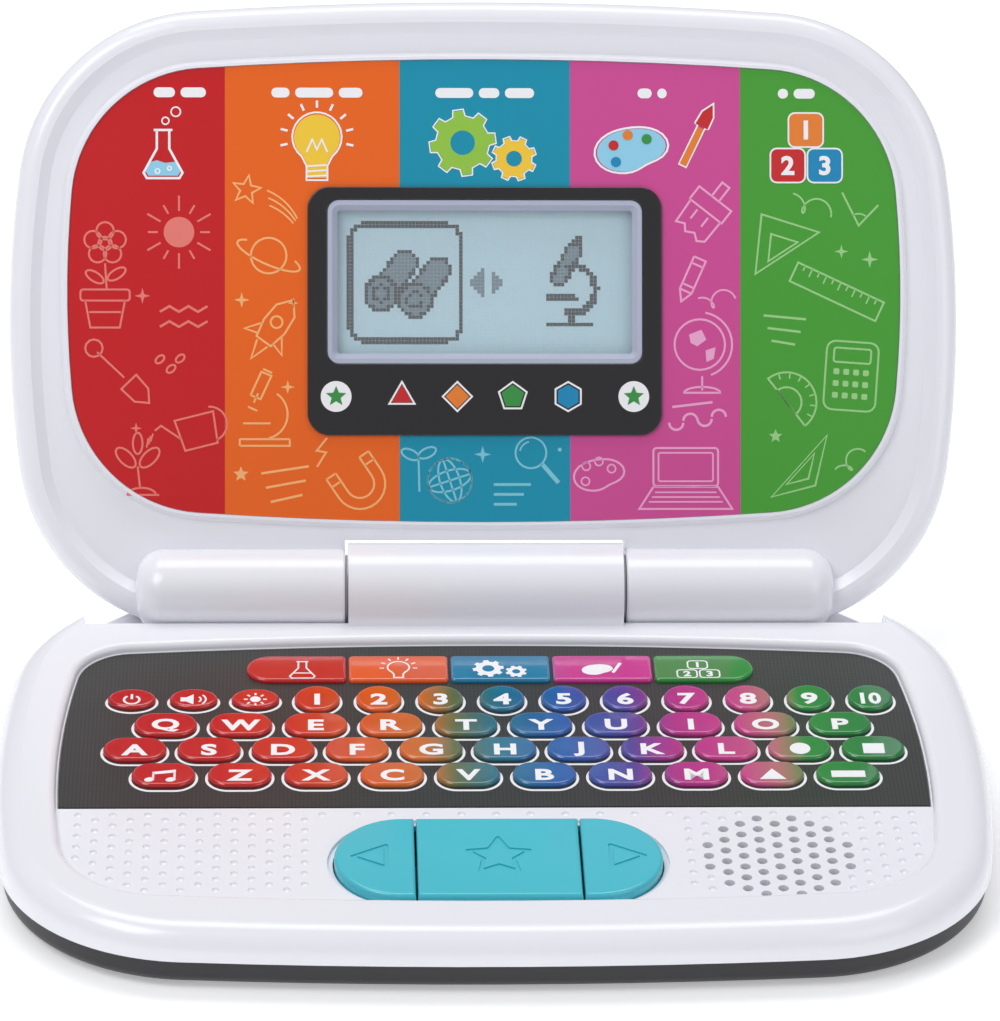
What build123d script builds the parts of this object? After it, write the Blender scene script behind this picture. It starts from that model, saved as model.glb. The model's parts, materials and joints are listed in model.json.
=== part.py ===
from build123d import *
import os
from math import cos, radians, sin, sqrt, tan

os.makedirs("parts", exist_ok=True)

# A child's toy laptop, open on a desk. Millimetres, +Z up, the front edge faces -Y.
# The origin is on the desk, under the centre of the open laptop's bounding box.

# Overall outline, shared by the base and the lid
half_width = 120.0
half_depth = 80.6
end_crown = 1100.0       # bow of the front and back edges
side_crown = 280.0       # bow of the left and right edges
outline_corner = 47.0
base_y = -33.6            # centre of the base outline

# Heights and walls of the base
foot_height = 1.2
parting_z = 8.2          # black lower shell meets white upper shell
deck_slope = 3.0         # degrees, rising towards the hinge
rim_mid_z = 19.9         # rim height at the base's centre
rim_radius = 6.5
brink_radius = 1.8
deck_drop = 2.2          # deck below the rim
deck_plate = 2.4
wall = 2.4
shell_step = 0.9         # lower shell stands inside the upper one's edge

# Hinge
hinge_inset = 12.1
hinge_y = base_y + half_depth - hinge_inset
hinge_z = 26.5
lean = 28.0              # degrees, open lid behind the vertical
barrel_radius = 10.6
barrel_start = 35.4
barrel_end = 88.0
knuckle_half = 34.6
knuckle_radius = 12.0
notch_depth = 12.8
trough_radius = 11.2
trough_end = 101.0
pin_radius = 4.0
pin_clearance = 0.08

# Lid, measured from the hinge axis: v up the lid, w towards the child
lip_w = 2.7
split_w = -4.0
back_w = -12.5
lid_mid_v = half_depth - hinge_inset
panel_mid_v = 75.8
panel_half_width = 105.2
panel_half_height = 58.4
panel_corner = 34.0
dish_floor_w = 0.2
panel_w = 1.2
label_thickness = 0.4
lid_inner_w = -1.8
lid_back_inner_w = -10.2
screen_mid_v = 78.0

# Deck layout, measured on the deck plane from the base's centre
well_mid_y = -6.2
well_half_width = 105.0
well_half_height = 57.3
overlay_front_y = -22.7
bar_y = -45.8
bar_half_length = 38.6
bar_half_height = 16.2
bar_split_x = 19.4
bar_height = 1.9
button_travel = 1.2
speaker_x = 66.0
speaker_y = -43.6
hole_pitch_x = 4.13
hole_pitch_y = 4.5
hole_radius = 1.25
dimple_radius = 0.95
dimple_depth = 0.75

# Keys: rows of raised domes on the film, front to back
letter_key = (15.4, 10.0)
round_key = 11.2
oval_key = (11.8, 8.6)
topic_key = (24.8, 11.6)
dome_height = 1.1
film_thickness = 0.4
membrane_thickness = 0.5

# Power
cell_radius = 5.25
cell_length = 44.5
cell_pitch = 11.1
bay_y = base_y + 22.0

slope = tan(radians(deck_slope))
desk = Plane((0, base_y, 0))
rim_plane = Plane(
    origin=(0, base_y, rim_mid_z),
    x_dir=(1, 0, 0),
    z_dir=(0, -sin(radians(deck_slope)), cos(radians(deck_slope))),
)
deck_plane = rim_plane.offset(-deck_drop)
rim_up = Axis(rim_plane.origin, rim_plane.z_dir)
lid_plane = Plane(
    origin=(0, hinge_y, hinge_z),
    x_dir=(1, 0, 0),
    z_dir=(0, -cos(radians(lean)), sin(radians(lean))),
)
# Section planes across the hinge: local x is v and local y is w on the lid's one
lid_section = Plane(
    origin=(0, hinge_y, hinge_z),
    x_dir=(0, sin(radians(lean)), cos(radians(lean))),
    z_dir=(1, 0, 0),
)
base_section = Plane(origin=(0, hinge_y, hinge_z), x_dir=(0, 1, 0), z_dir=(1, 0, 0))


def corner_arc(half_w, half_h, crown, side, radius):
    """Ends and middle of the corner arc that is tangent to both bowed edges."""
    end_centre = Vector(0, half_h - crown)
    side_centre = Vector(half_w - side, 0)
    gap = side_centre - end_centre
    reach = ((crown - radius) ** 2 - (side - radius) ** 2 + gap.length**2) / (2 * gap.length)
    across = sqrt((crown - radius) ** 2 - reach**2)
    unit = gap.normalized()
    centre = end_centre + unit * reach + Vector(unit.Y, -unit.X) * across
    to_end = (centre - end_centre).normalized()
    to_side = (centre - side_centre).normalized()
    start = end_centre + to_end * crown
    finish = side_centre + to_side * side
    middle = centre + (to_end + to_side).normalized() * radius
    return start, middle, finish


def bowed_panel(half_w, half_h, crown, side, rear_corner, front_corner, inset=0.0):
    """A rounded panel with bowed edges, centred on the origin and shrunk all round by inset."""
    size = [value - inset for value in (half_w, half_h, crown, side)]
    rear = corner_arc(*size, rear_corner - inset)
    front = corner_arc(*size, front_corner - inset)
    left = [Vector(-p.X, p.Y) for p in rear]
    front_right = [Vector(p.X, -p.Y) for p in front]
    front_left = [Vector(-p.X, -p.Y) for p in front]
    edges = [
        Edge.make_three_point_arc(left[0], Vector(0, size[1]), rear[0]),
        Edge.make_three_point_arc(*rear),
        Edge.make_three_point_arc(rear[2], Vector(size[0], 0), front_right[2]),
        Edge.make_three_point_arc(front_right[2], front_right[1], front_right[0]),
        Edge.make_three_point_arc(front_right[0], Vector(0, -size[1]), front_left[0]),
        Edge.make_three_point_arc(*front_left),
        Edge.make_three_point_arc(front_left[2], Vector(-size[0], 0), left[2]),
        Edge.make_three_point_arc(left[2], left[1], left[0]),
    ]
    return Sketch() + -Face(Wire(edges))


def outline(inset=0.0):
    """The laptop's own outline."""
    return bowed_panel(
        half_width, half_depth, end_crown, side_crown, outline_corner, outline_corner, inset
    )


def well(inset=0.0):
    """The deck's sunken area inside the rim."""
    shape = bowed_panel(
        well_half_width, well_half_height, end_crown, side_crown, 14.0, 25.0, inset
    )
    return Pos(0, well_mid_y) * shape


def panel(inset=0.0):
    """The lid's printed panel."""
    shape = bowed_panel(
        panel_half_width, panel_half_height, end_crown, side_crown, panel_corner, panel_corner, inset
    )
    return Pos(0, panel_mid_v) * shape


def pill(half_length, half_height, grow=0.0):
    """The button bar's outline."""
    length, breadth = 2 * (half_length + grow), 2 * (half_height + grow)
    return Pos(0, bar_y) * SlotOverall(length, breadth, mode=Mode.PRIVATE)


def rod(section_plane, radius, start, end):
    """A cylinder along the hinge axis from x = start to x = end."""
    disc = section_plane.offset(start) * Circle(radius, mode=Mode.PRIVATE)
    return extrude(disc, amount=end - start, mode=Mode.PRIVATE)


def write(piece, label):
    """Name a finished piece and write its STEP file."""
    piece.part.label = label
    export_step(piece.part, f"parts/{label}.step")


# ---------------------------------------------------------------- where things go
def in_speaker(x, y):
    """True inside the round patch of speaker holes."""
    return (x - speaker_x) ** 2 + (y - speaker_y) ** 2 < (4.0 * hole_pitch_y) ** 2


def near_bar(x, y):
    """True over the button bar and its surround."""
    return abs(x) < bar_half_length + 4.5 and abs(y - bar_y) < bar_half_height + 3.5


def in_well_front(x, y):
    """True on the textured part of the deck, clear of its edges."""
    corner_x = max(abs(x) - 80.0, 0)
    corner_y = max(-41.0 - y, 0)
    return corner_x**2 + (corner_y * 1.15) ** 2 < 20.5**2


grid = []
for column in range(-24, 25):
    for row in range(9):
        x = column * hole_pitch_x
        y = overlay_front_y - 2.6 - hole_pitch_y * (row + 0.5 * (column % 2))
        grid.append((x, y))
speaker_holes = [p for p in grid if in_speaker(*p)]
dimples = [p for p in grid if not in_speaker(*p) and not near_bar(*p) and in_well_front(*p)]

screw_spots = [(-92, 46), (92, 46), (-104, -12), (104, -12), (-72, -66), (72, -66)]
foot_spots = [(x, y) for x in (-88, 88) for y in (-56, 54)]
lid_screw_spots = [(-97, 118), (97, 118), (-99, 32), (99, 32), (-40, 139), (40, 139)]

# ---------------------------------------------------------------- upper base shell
barrel_wall = rod(base_section, trough_radius + 2.0, -103.5, 103.5)
cavity_block = extrude(rim_plane.offset(-deck_drop - deck_plate) * outline(wall), amount=-30)
cavity_block -= barrel_wall
screw_posts = Part()
for x, y in screw_spots:
    post = Cylinder(3.2, 30, align=(Align.CENTER, Align.CENTER, Align.MIN))
    screw_posts += desk.offset(4.0) * Pos(x, y) * post
cavity_block -= screw_posts

with BuildPart() as base_top_shell:
    with BuildSketch(rim_plane):
        add(outline())
    extrude(amount=-30)
    fillet(base_top_shell.faces().sort_by(rim_up).last.edges(), rim_radius)
    # the sunken deck, with a softly rounded brink
    with BuildSketch(rim_plane):
        add(well())
    extrude(amount=-deck_drop, mode=Mode.SUBTRACT)
    brink = base_top_shell.edges(Select.LAST).group_by(rim_up)[-1]
    fillet(brink, brink_radius)
    # knuckle between the lid's two barrels
    with BuildSketch(base_section.offset(-knuckle_half)):
        Circle(knuckle_radius)
        with Locations((0, -7.0)):
            Rectangle(2 * knuckle_radius, 14.0)
    extrude(amount=2 * knuckle_half)
    # everything hollow
    add(cavity_block, mode=Mode.SUBTRACT)
    with BuildSketch(Plane.XY.offset(parting_z)):
        Rectangle(400, 400)
    extrude(amount=-40, mode=Mode.SUBTRACT)
    # troughs that the lid's barrels turn in, open at the back
    for start, end in ((-trough_end, -knuckle_half), (knuckle_half, trough_end)):
        with BuildSketch(base_section.offset(start)):
            Circle(trough_radius)
            with Locations((6.0 + half_depth - hinge_y + base_y, 1.5)):
                Rectangle(12.0, 16.0)
        extrude(amount=end - start, mode=Mode.SUBTRACT)
    # wiring chamber inside the knuckle and the bores for the hinge pins
    with BuildSketch(base_section.offset(-knuckle_half + 4.0)):
        Circle(9.4)
        with Locations((-1.0, -8.0)):
            Rectangle(13.0, 16.0)
    extrude(amount=2 * (knuckle_half - 4.0), mode=Mode.SUBTRACT)
    with BuildSketch(base_section.offset(-knuckle_half)):
        Circle(pin_radius + pin_clearance)
    extrude(amount=2 * knuckle_half, mode=Mode.SUBTRACT)
    # pocket for the key film, surround and openings for the button bar
    with BuildSketch(deck_plane):
        add(well(0.35))
        with Locations((0, overlay_front_y - 60)):
            Rectangle(300, 120, mode=Mode.SUBTRACT)
    extrude(amount=-(film_thickness + membrane_thickness), mode=Mode.SUBTRACT)
    with BuildSketch(deck_plane):
        add(pill(bar_half_length, bar_half_height, 1.6))
    extrude(amount=-0.8, mode=Mode.SUBTRACT)
    with BuildSketch(deck_plane):
        add(pill(bar_half_length, bar_half_height, 0.35))
    extrude(amount=-10, mode=Mode.SUBTRACT)
    # speaker holes, dimples and the screws' pilot holes
    with BuildSketch(deck_plane):
        with Locations(*speaker_holes):
            Circle(hole_radius)
    extrude(amount=-6, mode=Mode.SUBTRACT)
    with Locations(*[deck_plane.offset(dimple_radius - dimple_depth) * Pos(x, y) for x, y in dimples]):
        Sphere(dimple_radius, mode=Mode.SUBTRACT)
    with Locations(*[desk.offset(parting_z) * Pos(x, y) for x, y in screw_spots]):
        Cylinder(1.1, 5.0, align=(Align.CENTER, Align.CENTER, Align.MIN), mode=Mode.SUBTRACT)
write(base_top_shell, "base_top_shell")

# ---------------------------------------------------------------- lower base shell
floor_top = 3.4
bay_half_x = 26.0
bay_half_y = 17.6
bay_top = 14.2
bay_wall = 1.6
door_top = 2.9
lug_x = 30.5
lug_half_y = 5.0
board_mid = (-66.0, -4.0)
board_size = (64.0, 48.0)
board_z = 7.0
board_screws = [(board_mid[0] + x, board_mid[1] + y) for x in (-28, 28) for y in (-20, 20)]
bay_mid_y = bay_y - base_y
parting_shift = (rim_mid_z - parting_z) * slope
UP = (Align.CENTER, Align.CENTER, Align.MIN)

with BuildPart() as base_bottom_shell:
    with BuildSketch(Plane((0, base_y + parting_shift, foot_height))):
        add(outline(shell_step))
    extrude(amount=parting_z - foot_height)
    fillet(base_bottom_shell.faces().sort_by(Axis.Z).first.edges(), 3.5)
    with BuildSketch(Plane((0, base_y + parting_shift, floor_top))):
        add(outline(shell_step + wall))
    extrude(amount=20, mode=Mode.SUBTRACT)
    # battery bay, open below, with a boss for the door's screw beside it
    with Locations((0, bay_y, foot_height + 1.0)):
        Box(2 * (bay_half_x + bay_wall), 2 * (bay_half_y + bay_wall), bay_top - foot_height, align=UP)
    with Locations((lug_x, bay_y, door_top + 0.3)):
        Cylinder(3.4, 7.0, align=UP)
    with Locations((0, bay_y, 0)):
        Box(2 * bay_half_x, 2 * bay_half_y, bay_top, align=UP, mode=Mode.SUBTRACT)
    with Locations((lug_x - 2.0, bay_y, 0)):
        Box(12.6, 2 * lug_half_y + 0.6, door_top + 0.3, align=UP, mode=Mode.SUBTRACT)
    with Locations((lug_x, bay_y, 0)):
        Cylinder(1.3, 8.5, align=UP, mode=Mode.SUBTRACT)
    # posts for the case screws and the main board
    with Locations(*[desk.offset(foot_height + 0.5) * Pos(x, y) for x, y in screw_spots]):
        Cylinder(4.4, parting_z - foot_height - 0.5, align=UP)
    with Locations(*[desk * Pos(x, y) for x, y in screw_spots]):
        Cylinder(3.2, 5.2, align=UP, mode=Mode.SUBTRACT)
        Cylinder(1.4, 20.0, align=UP, mode=Mode.SUBTRACT)
    with Locations(*[desk.offset(foot_height + 0.5) * Pos(x, y) for x, y in board_screws]):
        Cylinder(2.6, board_z - foot_height - 0.5, align=UP)
    with Locations(*[desk.offset(4.4) * Pos(x, y) for x, y in board_screws]):
        Cylinder(0.9, 20.0, align=UP, mode=Mode.SUBTRACT)
    with Locations(*[desk * Pos(x, y) for x, y in foot_spots]):
        Cylinder(6.2, foot_height + 0.8, align=UP, mode=Mode.SUBTRACT)
write(base_bottom_shell, "base_bottom_shell")

with BuildPart() as rubber_feet:
    with Locations(*[desk * Pos(x, y) for x, y in foot_spots]):
        Cylinder(6.0, foot_height + 0.8, align=UP)
    fillet(rubber_feet.edges().group_by(Axis.Z)[0], 0.5)
write(rubber_feet, "rubber_feet")

with BuildPart() as base_screws:
    with Locations(*[desk.offset(5.2) * Pos(x, y) for x, y in screw_spots]):
        Cylinder(2.7, 1.6, align=(Align.CENTER, Align.CENTER, Align.MAX))
        Cylinder(1.1, 7.6, align=UP)
    with Locations(*[desk.offset(3.6) * Pos(x, y) for x, y in screw_spots]):
        Box(3.2, 0.7, 0.8, align=UP, mode=Mode.SUBTRACT)
        Box(0.7, 3.2, 0.8, align=UP, mode=Mode.SUBTRACT)
write(base_screws, "base_screws")

# ---------------------------------------------------------------- power
with BuildPart() as battery_door:
    with Locations((0.5, bay_y, foot_height)):
        Box(2 * bay_half_x - 0.6 - 1.0, 2 * bay_half_y - 0.6, door_top - foot_height, align=UP)
    with Locations((lug_x - 3.0, bay_y, foot_height)):
        Box(14.0, 2 * lug_half_y, door_top - foot_height, align=UP)
    with Locations((lug_x, bay_y, 0)):
        Cylinder(2.6, foot_height + 0.9, align=UP, mode=Mode.SUBTRACT)
        Cylinder(1.3, 10, align=UP, mode=Mode.SUBTRACT)
    # shallow finger grooves
    with Locations(*[(x, bay_y, foot_height) for x in (-16, -12, -8, 8, 12, 16)]):
        Box(1.6, 22.0, 0.8, mode=Mode.SUBTRACT)
write(battery_door, "battery_door")

with BuildPart() as battery_door_screw:
    with Locations((lug_x, bay_y, foot_height + 0.1)):
        Cylinder(2.4, 0.8, align=UP)
        Cylinder(1.1, door_top - foot_height - 0.1, align=UP)
    with Locations((lug_x, bay_y, foot_height)):
        Box(3.0, 0.7, 0.6, align=UP, mode=Mode.SUBTRACT)
write(battery_door_screw, "battery_door_screw")

cell_z = door_top + 0.3 + cell_radius
contact_x = 25.5
for number in range(3):
    side = 1 if number % 2 else -1
    y = bay_y + (number - 1) * cell_pitch
    with BuildPart() as battery:
        with BuildSketch(Plane(origin=(-side * cell_length / 2, y, cell_z), z_dir=(side, 0, 0))):
            Circle(cell_radius)
        extrude(amount=cell_length - 1.2)
        fillet(battery.edges(), 0.5)
        with BuildSketch(Plane(origin=(side * (cell_length / 2 - 1.8), y, cell_z), z_dir=(side, 0, 0))):
            Circle(1.9)
        extrude(amount=1.8)
    write(battery, f"battery_{number + 1}")

with BuildPart() as battery_contacts:
    for side in (-1, 1):
        for number in range(3):
            y = bay_y + (number - 1) * cell_pitch
            with BuildSketch(Plane(origin=(side * (contact_x + 0.4), y, cell_z), z_dir=(-side, 0, 0))):
                RectangleRounded(9.0, 9.4, 1.0)
            extrude(amount=0.4)
            with BuildSketch(Plane(origin=(side * contact_x, y, cell_z), z_dir=(-side, 0, 0))):
                Circle(2.6)
            extrude(amount=contact_x - cell_length / 2 - 0.05, taper=12)
write(battery_contacts, "battery_contacts")

# ---------------------------------------------------------------- main board
with BuildPart() as main_board:
    with BuildSketch(desk.offset(board_z)):
        with Locations(board_mid):
            RectangleRounded(*board_size, 2.0)
        with Locations(*board_screws):
            Circle(1.3, mode=Mode.SUBTRACT)
    extrude(amount=1.6)
write(main_board, "main_board")

with BuildPart() as board_components:
    chip_base = desk.offset(board_z + 1.6)
    for x, y, length, breadth, height in (
        (-6, 2, 13, 13, 1.4), (12, 6, 9, 6, 1.2), (14, -9, 6, 9, 1.2),
        (-20, -8, 5, 11, 3.0), (-19, 11, 8, 5, 2.6),
    ):
        with Locations(chip_base * Pos(board_mid[0] + x, board_mid[1] + y)):
            Box(length, breadth, height, align=UP)
    with Locations(*[chip_base * Pos(board_mid[0] + x, board_mid[1] - 17) for x in (-12, -5, 2)]):
        Cylinder(2.0, 4.2, align=UP)
write(board_components, "board_components")

with BuildPart() as board_fixings:
    with Locations(*[desk.offset(board_z + 1.6) * Pos(x, y) for x, y in board_screws]):
        Cylinder(2.1, 1.3, align=UP)
        Cylinder(0.9, 4.0, align=(Align.CENTER, Align.CENTER, Align.MAX))
write(board_fixings, "board_fixings")

# ---------------------------------------------------------------- key film and its switch sheet
topic_row_y = 38.8
number_row_y = 25.1
letter_rows = ((10, 18.3, 13.4), (11, 17.9, 2.4), (10, 18.3, -8.9))
topic_pitch = 25.3
keys_x = 3.0               # the key block sits a little right of centre
number_pitch = 15.15


def film_area(inset):
    """The part of the well that the key film covers."""
    shape = well(inset)
    return shape - Pos(0, overlay_front_y + inset - 60) * Rectangle(300, 120, mode=Mode.PRIVATE)


def key_shapes(grow=0.0):
    """Outlines of all the raised keys."""
    private = Mode.PRIVATE
    shapes = Sketch()
    length, breadth = topic_key[0] + 2 * grow, topic_key[1] + 2 * grow
    for index in range(5):
        x = (index - 2) * topic_pitch
        if abs(index - 2) == 2:
            inward = -1 if x > 0 else 1
            key = SlotOverall(length, breadth, mode=private)
            key += Pos(inward * length / 4) * RectangleRounded(length / 2, breadth, 1.2, mode=private)
        else:
            key = RectangleRounded(length, breadth, 1.2, mode=private)
        shapes += Pos(x, topic_row_y) * key
    for index in range(13):
        if index < 3:
            key = Ellipse(oval_key[0] / 2 + grow, oval_key[1] / 2 + grow, mode=private)
        else:
            key = Circle(round_key / 2 + grow, mode=private)
        shapes += Pos((index - 6) * number_pitch, number_row_y) * key
    for count, pitch, y in letter_rows:
        for index in range(count):
            key = SlotOverall(letter_key[0] + 2 * grow, letter_key[1] + 2 * grow, mode=private)
            shapes += Pos((index - (count - 1) / 2) * pitch, y) * key
    return Pos(keys_x, 0) * shapes


with BuildPart() as keyboard_overlay:
    with BuildSketch(deck_plane.offset(-film_thickness)):
        add(film_area(0.6))
    extrude(amount=film_thickness)
    with BuildSketch(deck_plane):
        add(key_shapes())
    extrude(amount=dome_height)
    fillet(keyboard_overlay.edges(Select.LAST).group_by(rim_up)[-1], dome_height - 0.25)
    with BuildSketch(deck_plane.offset(-film_thickness)):
        add(key_shapes(-1.3))
    extrude(amount=film_thickness + dome_height - 0.5, mode=Mode.SUBTRACT)
write(keyboard_overlay, "keyboard_overlay")

with BuildPart() as key_membrane:
    with BuildSketch(deck_plane.offset(-film_thickness - membrane_thickness)):
        add(film_area(0.8))
    extrude(amount=membrane_thickness)
write(key_membrane, "key_membrane")

# ---------------------------------------------------------------- button bar
board_depth = 9.0
emblem_depth = 0.35
emblem_line = 0.55


def bar_piece(low, high, grow=0.0):
    """The stretch of the bar's outline between two x values."""
    middle = (low + high) / 2
    stretch = Pos(middle, bar_y) * Rectangle(high - low, 60, mode=Mode.PRIVATE)
    return pill(bar_half_length, bar_half_height, grow) & stretch


def ring_line(shape):
    """A groove that follows a shape's outline."""
    outer = offset(shape, emblem_line, mode=Mode.PRIVATE)
    return outer - offset(shape, -emblem_line, mode=Mode.PRIVATE)


star = Pos(0, bar_y) * make_face(
    Polyline(
        *[
            (r * sin(radians(36 * k)), r * cos(radians(36 * k)))
            for k, r in enumerate((7.6, 3.7) * 5)
        ],
        close=True,
    )
)
left_arrow = Pos(-29.0, bar_y) * Triangle(a=9.0, b=9.0, c=9.0, rotation=90)

buttons = (
    ("left_arrow_button", -60.0, -bar_split_x - 0.25, left_arrow),
    ("star_button", -bar_split_x + 0.25, bar_split_x - 0.25, star),
)
for label, low, high, emblem in buttons:
    with BuildPart() as button:
        with BuildSketch(deck_plane.offset(-3.0)):
            add(bar_piece(low, high))
        extrude(amount=3.0 + bar_height)
        fillet(button.faces().sort_by(rim_up).last.edges(), 0.9)
        # retaining flange under the deck
        with BuildSketch(deck_plane.offset(-4.0)):
            add(bar_piece(low, high, 1.2))
        extrude(amount=1.2)
        # hollow underside with a plunger
        with BuildSketch(deck_plane.offset(-4.0)):
            add(offset(bar_piece(low, high), -2.0, mode=Mode.PRIVATE))
        extrude(amount=4.4, mode=Mode.SUBTRACT)
        plunger_x = max(min((max(low, -38) + min(high, 38)) / 2, 28), -28)
        with BuildSketch(deck_plane.offset(-4.7)):
            with Locations((plunger_x, bar_y)):
                Circle(3.0)
        extrude(amount=5.6)
        with BuildSketch(deck_plane.offset(bar_height)):
            add(ring_line(emblem))
        extrude(amount=-emblem_depth, mode=Mode.SUBTRACT)
    write(button, label)
    if label == "left_arrow_button":
        with BuildPart() as right_button:
            add(mirror(button.part, about=Plane.YZ))
        write(right_button, "right_arrow_button")

with BuildPart() as button_board:
    with BuildSketch(deck_plane.offset(-board_depth)):
        with Locations((0, bar_y)):
            RectangleRounded(82.0, 27.0, 1.5)
    extrude(amount=1.2)
write(button_board, "button_board")

with BuildPart() as button_rubber_pad:
    with BuildSketch(deck_plane.offset(-board_depth + 1.2)):
        with Locations((0, bar_y)):
            RectangleRounded(74.0, 18.0, 2.0)
    extrude(amount=0.6)
    with BuildSketch(deck_plane.offset(-board_depth + 1.8)):
        with Locations(*[(x, bar_y) for x in (-28.0, 0.0, 28.0)]):
            Circle(4.6)
    extrude(amount=1.1, taper=25)
write(button_rubber_pad, "button_rubber_pad")

# ---------------------------------------------------------------- speaker
speaker_plane = Plane(
    origin=deck_plane.from_local_coords(Vector(speaker_x, speaker_y, 0)),
    x_dir=(1, 0, 0),
    z_dir=(0, -1, -slope),
)
# on this plane local x runs outward and local y runs along the deck's normal
speaker_axis = Axis(speaker_plane.origin, rim_plane.z_dir)


speaker_parts = {
    "speaker_frame": [
        (16.0, -2.7), (18.0, -2.7), (18.0, -4.0), (17.0, -4.4), (11.0, -7.9),
        (7.0, -7.9), (7.0, -7.1), (10.6, -7.1), (16.0, -4.0),
    ],
    "speaker_cone": [
        (0, -4.6), (3.6, -5.2), (4.4, -5.9), (15.6, -3.1), (15.6, -3.5),
        (4.4, -6.4), (3.4, -6.4), (3.2, -5.7), (0, -5.1),
    ],
    "speaker_magnet": [(0, -7.9), (9.0, -7.9), (9.0, -10.4), (8.6, -10.8), (0, -10.8)],
}
for label, profile in speaker_parts.items():
    with BuildPart() as turned_piece:
        with BuildSketch(speaker_plane):
            with BuildLine():
                Polyline(*profile, close=True)
            make_face()
        revolve(axis=speaker_axis)
    write(turned_piece, label)

# ---------------------------------------------------------------- the lid as one closed block
with BuildPart() as lid_block:
    with BuildSketch(lid_plane.offset(back_w)):
        with Locations((0, lid_mid_v)):
            add(outline())
    extrude(amount=lip_w - back_w)
    lid_out = Axis(lid_plane.origin, lid_plane.z_dir)
    fillet(lid_block.faces().sort_by(lid_out).last.edges(), 4.2)
    fillet(lid_block.faces().sort_by(lid_out).first.edges(), 6.0)
    # the dish that the printed panel stands in
    with BuildSketch(lid_plane.offset(lip_w)):
        with Locations((0, lid_mid_v)):
            add(outline(5.4))
    with BuildSketch(lid_plane.offset(dish_floor_w)):
        with Locations((0, lid_mid_v)):
            add(outline(8.0))
    loft(ruled=True, mode=Mode.SUBTRACT)
    # the panel's plateau and its raised white border
    with BuildSketch(lid_plane.offset(dish_floor_w - 1.0)):
        add(panel(-2.6))
    with BuildSketch(lid_plane.offset(panel_w + 0.9)):
        add(panel(-0.9))
    loft(ruled=True)
    with BuildSketch(lid_plane.offset(panel_w)):
        add(panel(-0.15))
    extrude(amount=3, mode=Mode.SUBTRACT)
    # below the axis the lid stays inside the circle that it turns in
    with BuildSketch(lid_section.offset(-130)):
        Circle(barrel_radius)
        with BuildLine():
            Polyline((0, -barrel_radius), (18, back_w), (170, back_w), (170, 6), (0, 6), close=True)
        make_face()
    extrude(amount=260, mode=Mode.INTERSECT)

with BuildPart() as barrel:
    with BuildSketch(lid_section.offset(barrel_start)):
        Circle(barrel_radius)
    extrude(amount=barrel_end - barrel_start)
    fillet(barrel.faces().sort_by(Axis.X).last.edges(), 7.0)
    chamfer(barrel.faces().sort_by(Axis.X).first.edges(), 0.4)

lid_solid = lid_block.part + barrel.part + mirror(barrel.part, about=Plane.YZ)
notch = extrude(
    lid_section.offset(-barrel_start) * (Pos(notch_depth - 30, 0) * Rectangle(60, 60)),
    amount=2 * barrel_start,
)
lid_solid -= notch
pin_bore = rod(base_section, pin_radius, -47.0, 47.0)
hollow = rod(base_section, 7.4, 49.5, 82.0)
lid_solid -= pin_bore
lid_solid -= hollow
lid_solid -= mirror(hollow, about=Plane.YZ)

lid_front_half = split(lid_solid, bisect_by=lid_plane.offset(split_w), keep=Keep.TOP)
lid_back_half = split(lid_solid, bisect_by=lid_plane.offset(split_w), keep=Keep.BOTTOM)
cavity_low_v = 14.0
notch_wall = 2.2


def lid_cavity(low_w, high_w):
    """The lid's hollow between two levels, clear of the hinge end."""
    shape = Pos(0, lid_mid_v) * outline(wall)
    shape -= Pos(0, cavity_low_v - 60) * Rectangle(300, 120)
    notch_width = 2 * barrel_start + 2 * notch_wall
    shape -= Pos(0, notch_depth + notch_wall - 20) * Rectangle(notch_width, 40)
    return extrude(lid_plane.offset(low_w) * shape, amount=high_w - low_w)


front_cavity = lid_cavity(split_w, lid_inner_w)
back_cavity = lid_cavity(lid_back_inner_w, split_w)
screen_opening = (80.4, 42.2)
display_size = (89.6, 62.8)
display_mid_v = 70.6
screen_board = (96.0, 54.0)
screen_board_w = -5.4
screen_screws = [(x, screen_mid_v + y) for x in (-45.5, 45.5) for y in (-24.5, 24.5)]

with BuildPart() as lid_front_shell:
    add(lid_front_half)
    add(front_cavity, mode=Mode.SUBTRACT)
    with BuildSketch(lid_plane.offset(lid_inner_w)):
        with Locations(*lid_screw_spots):
            Circle(3.2)
    extrude(amount=lid_back_inner_w - lid_inner_w)
    with BuildSketch(lid_plane.offset(lid_inner_w)):
        with Locations(*screen_screws):
            Circle(2.4)
    extrude(amount=-2.0)
    with BuildSketch(lid_plane.offset(lid_inner_w - 0.6)):
        with Locations(*lid_screw_spots):
            Circle(1.0)
    extrude(amount=-10, mode=Mode.SUBTRACT)
    with BuildSketch(lid_plane.offset(lid_inner_w)):
        with Locations(*screen_screws):
            Circle(0.8)
    extrude(amount=-3, mode=Mode.SUBTRACT)
    with BuildSketch(lid_plane.offset(-3)):
        with Locations((0, screen_mid_v)):
            Rectangle(*screen_opening)
    extrude(amount=8, mode=Mode.SUBTRACT)
write(lid_front_shell, "lid_front_shell")

with BuildPart() as lid_back_shell:
    add(lid_back_half)
    add(back_cavity, mode=Mode.SUBTRACT)
    with BuildSketch(lid_plane.offset(back_w - 1)):
        with Locations(*lid_screw_spots):
            Circle(1.4)
    extrude(amount=4, mode=Mode.SUBTRACT)
    with BuildSketch(lid_plane.offset(back_w - 1)):
        with Locations(*lid_screw_spots):
            Circle(2.6)
    extrude(amount=2.2, mode=Mode.SUBTRACT)
write(lid_back_shell, "lid_back_shell")

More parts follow.
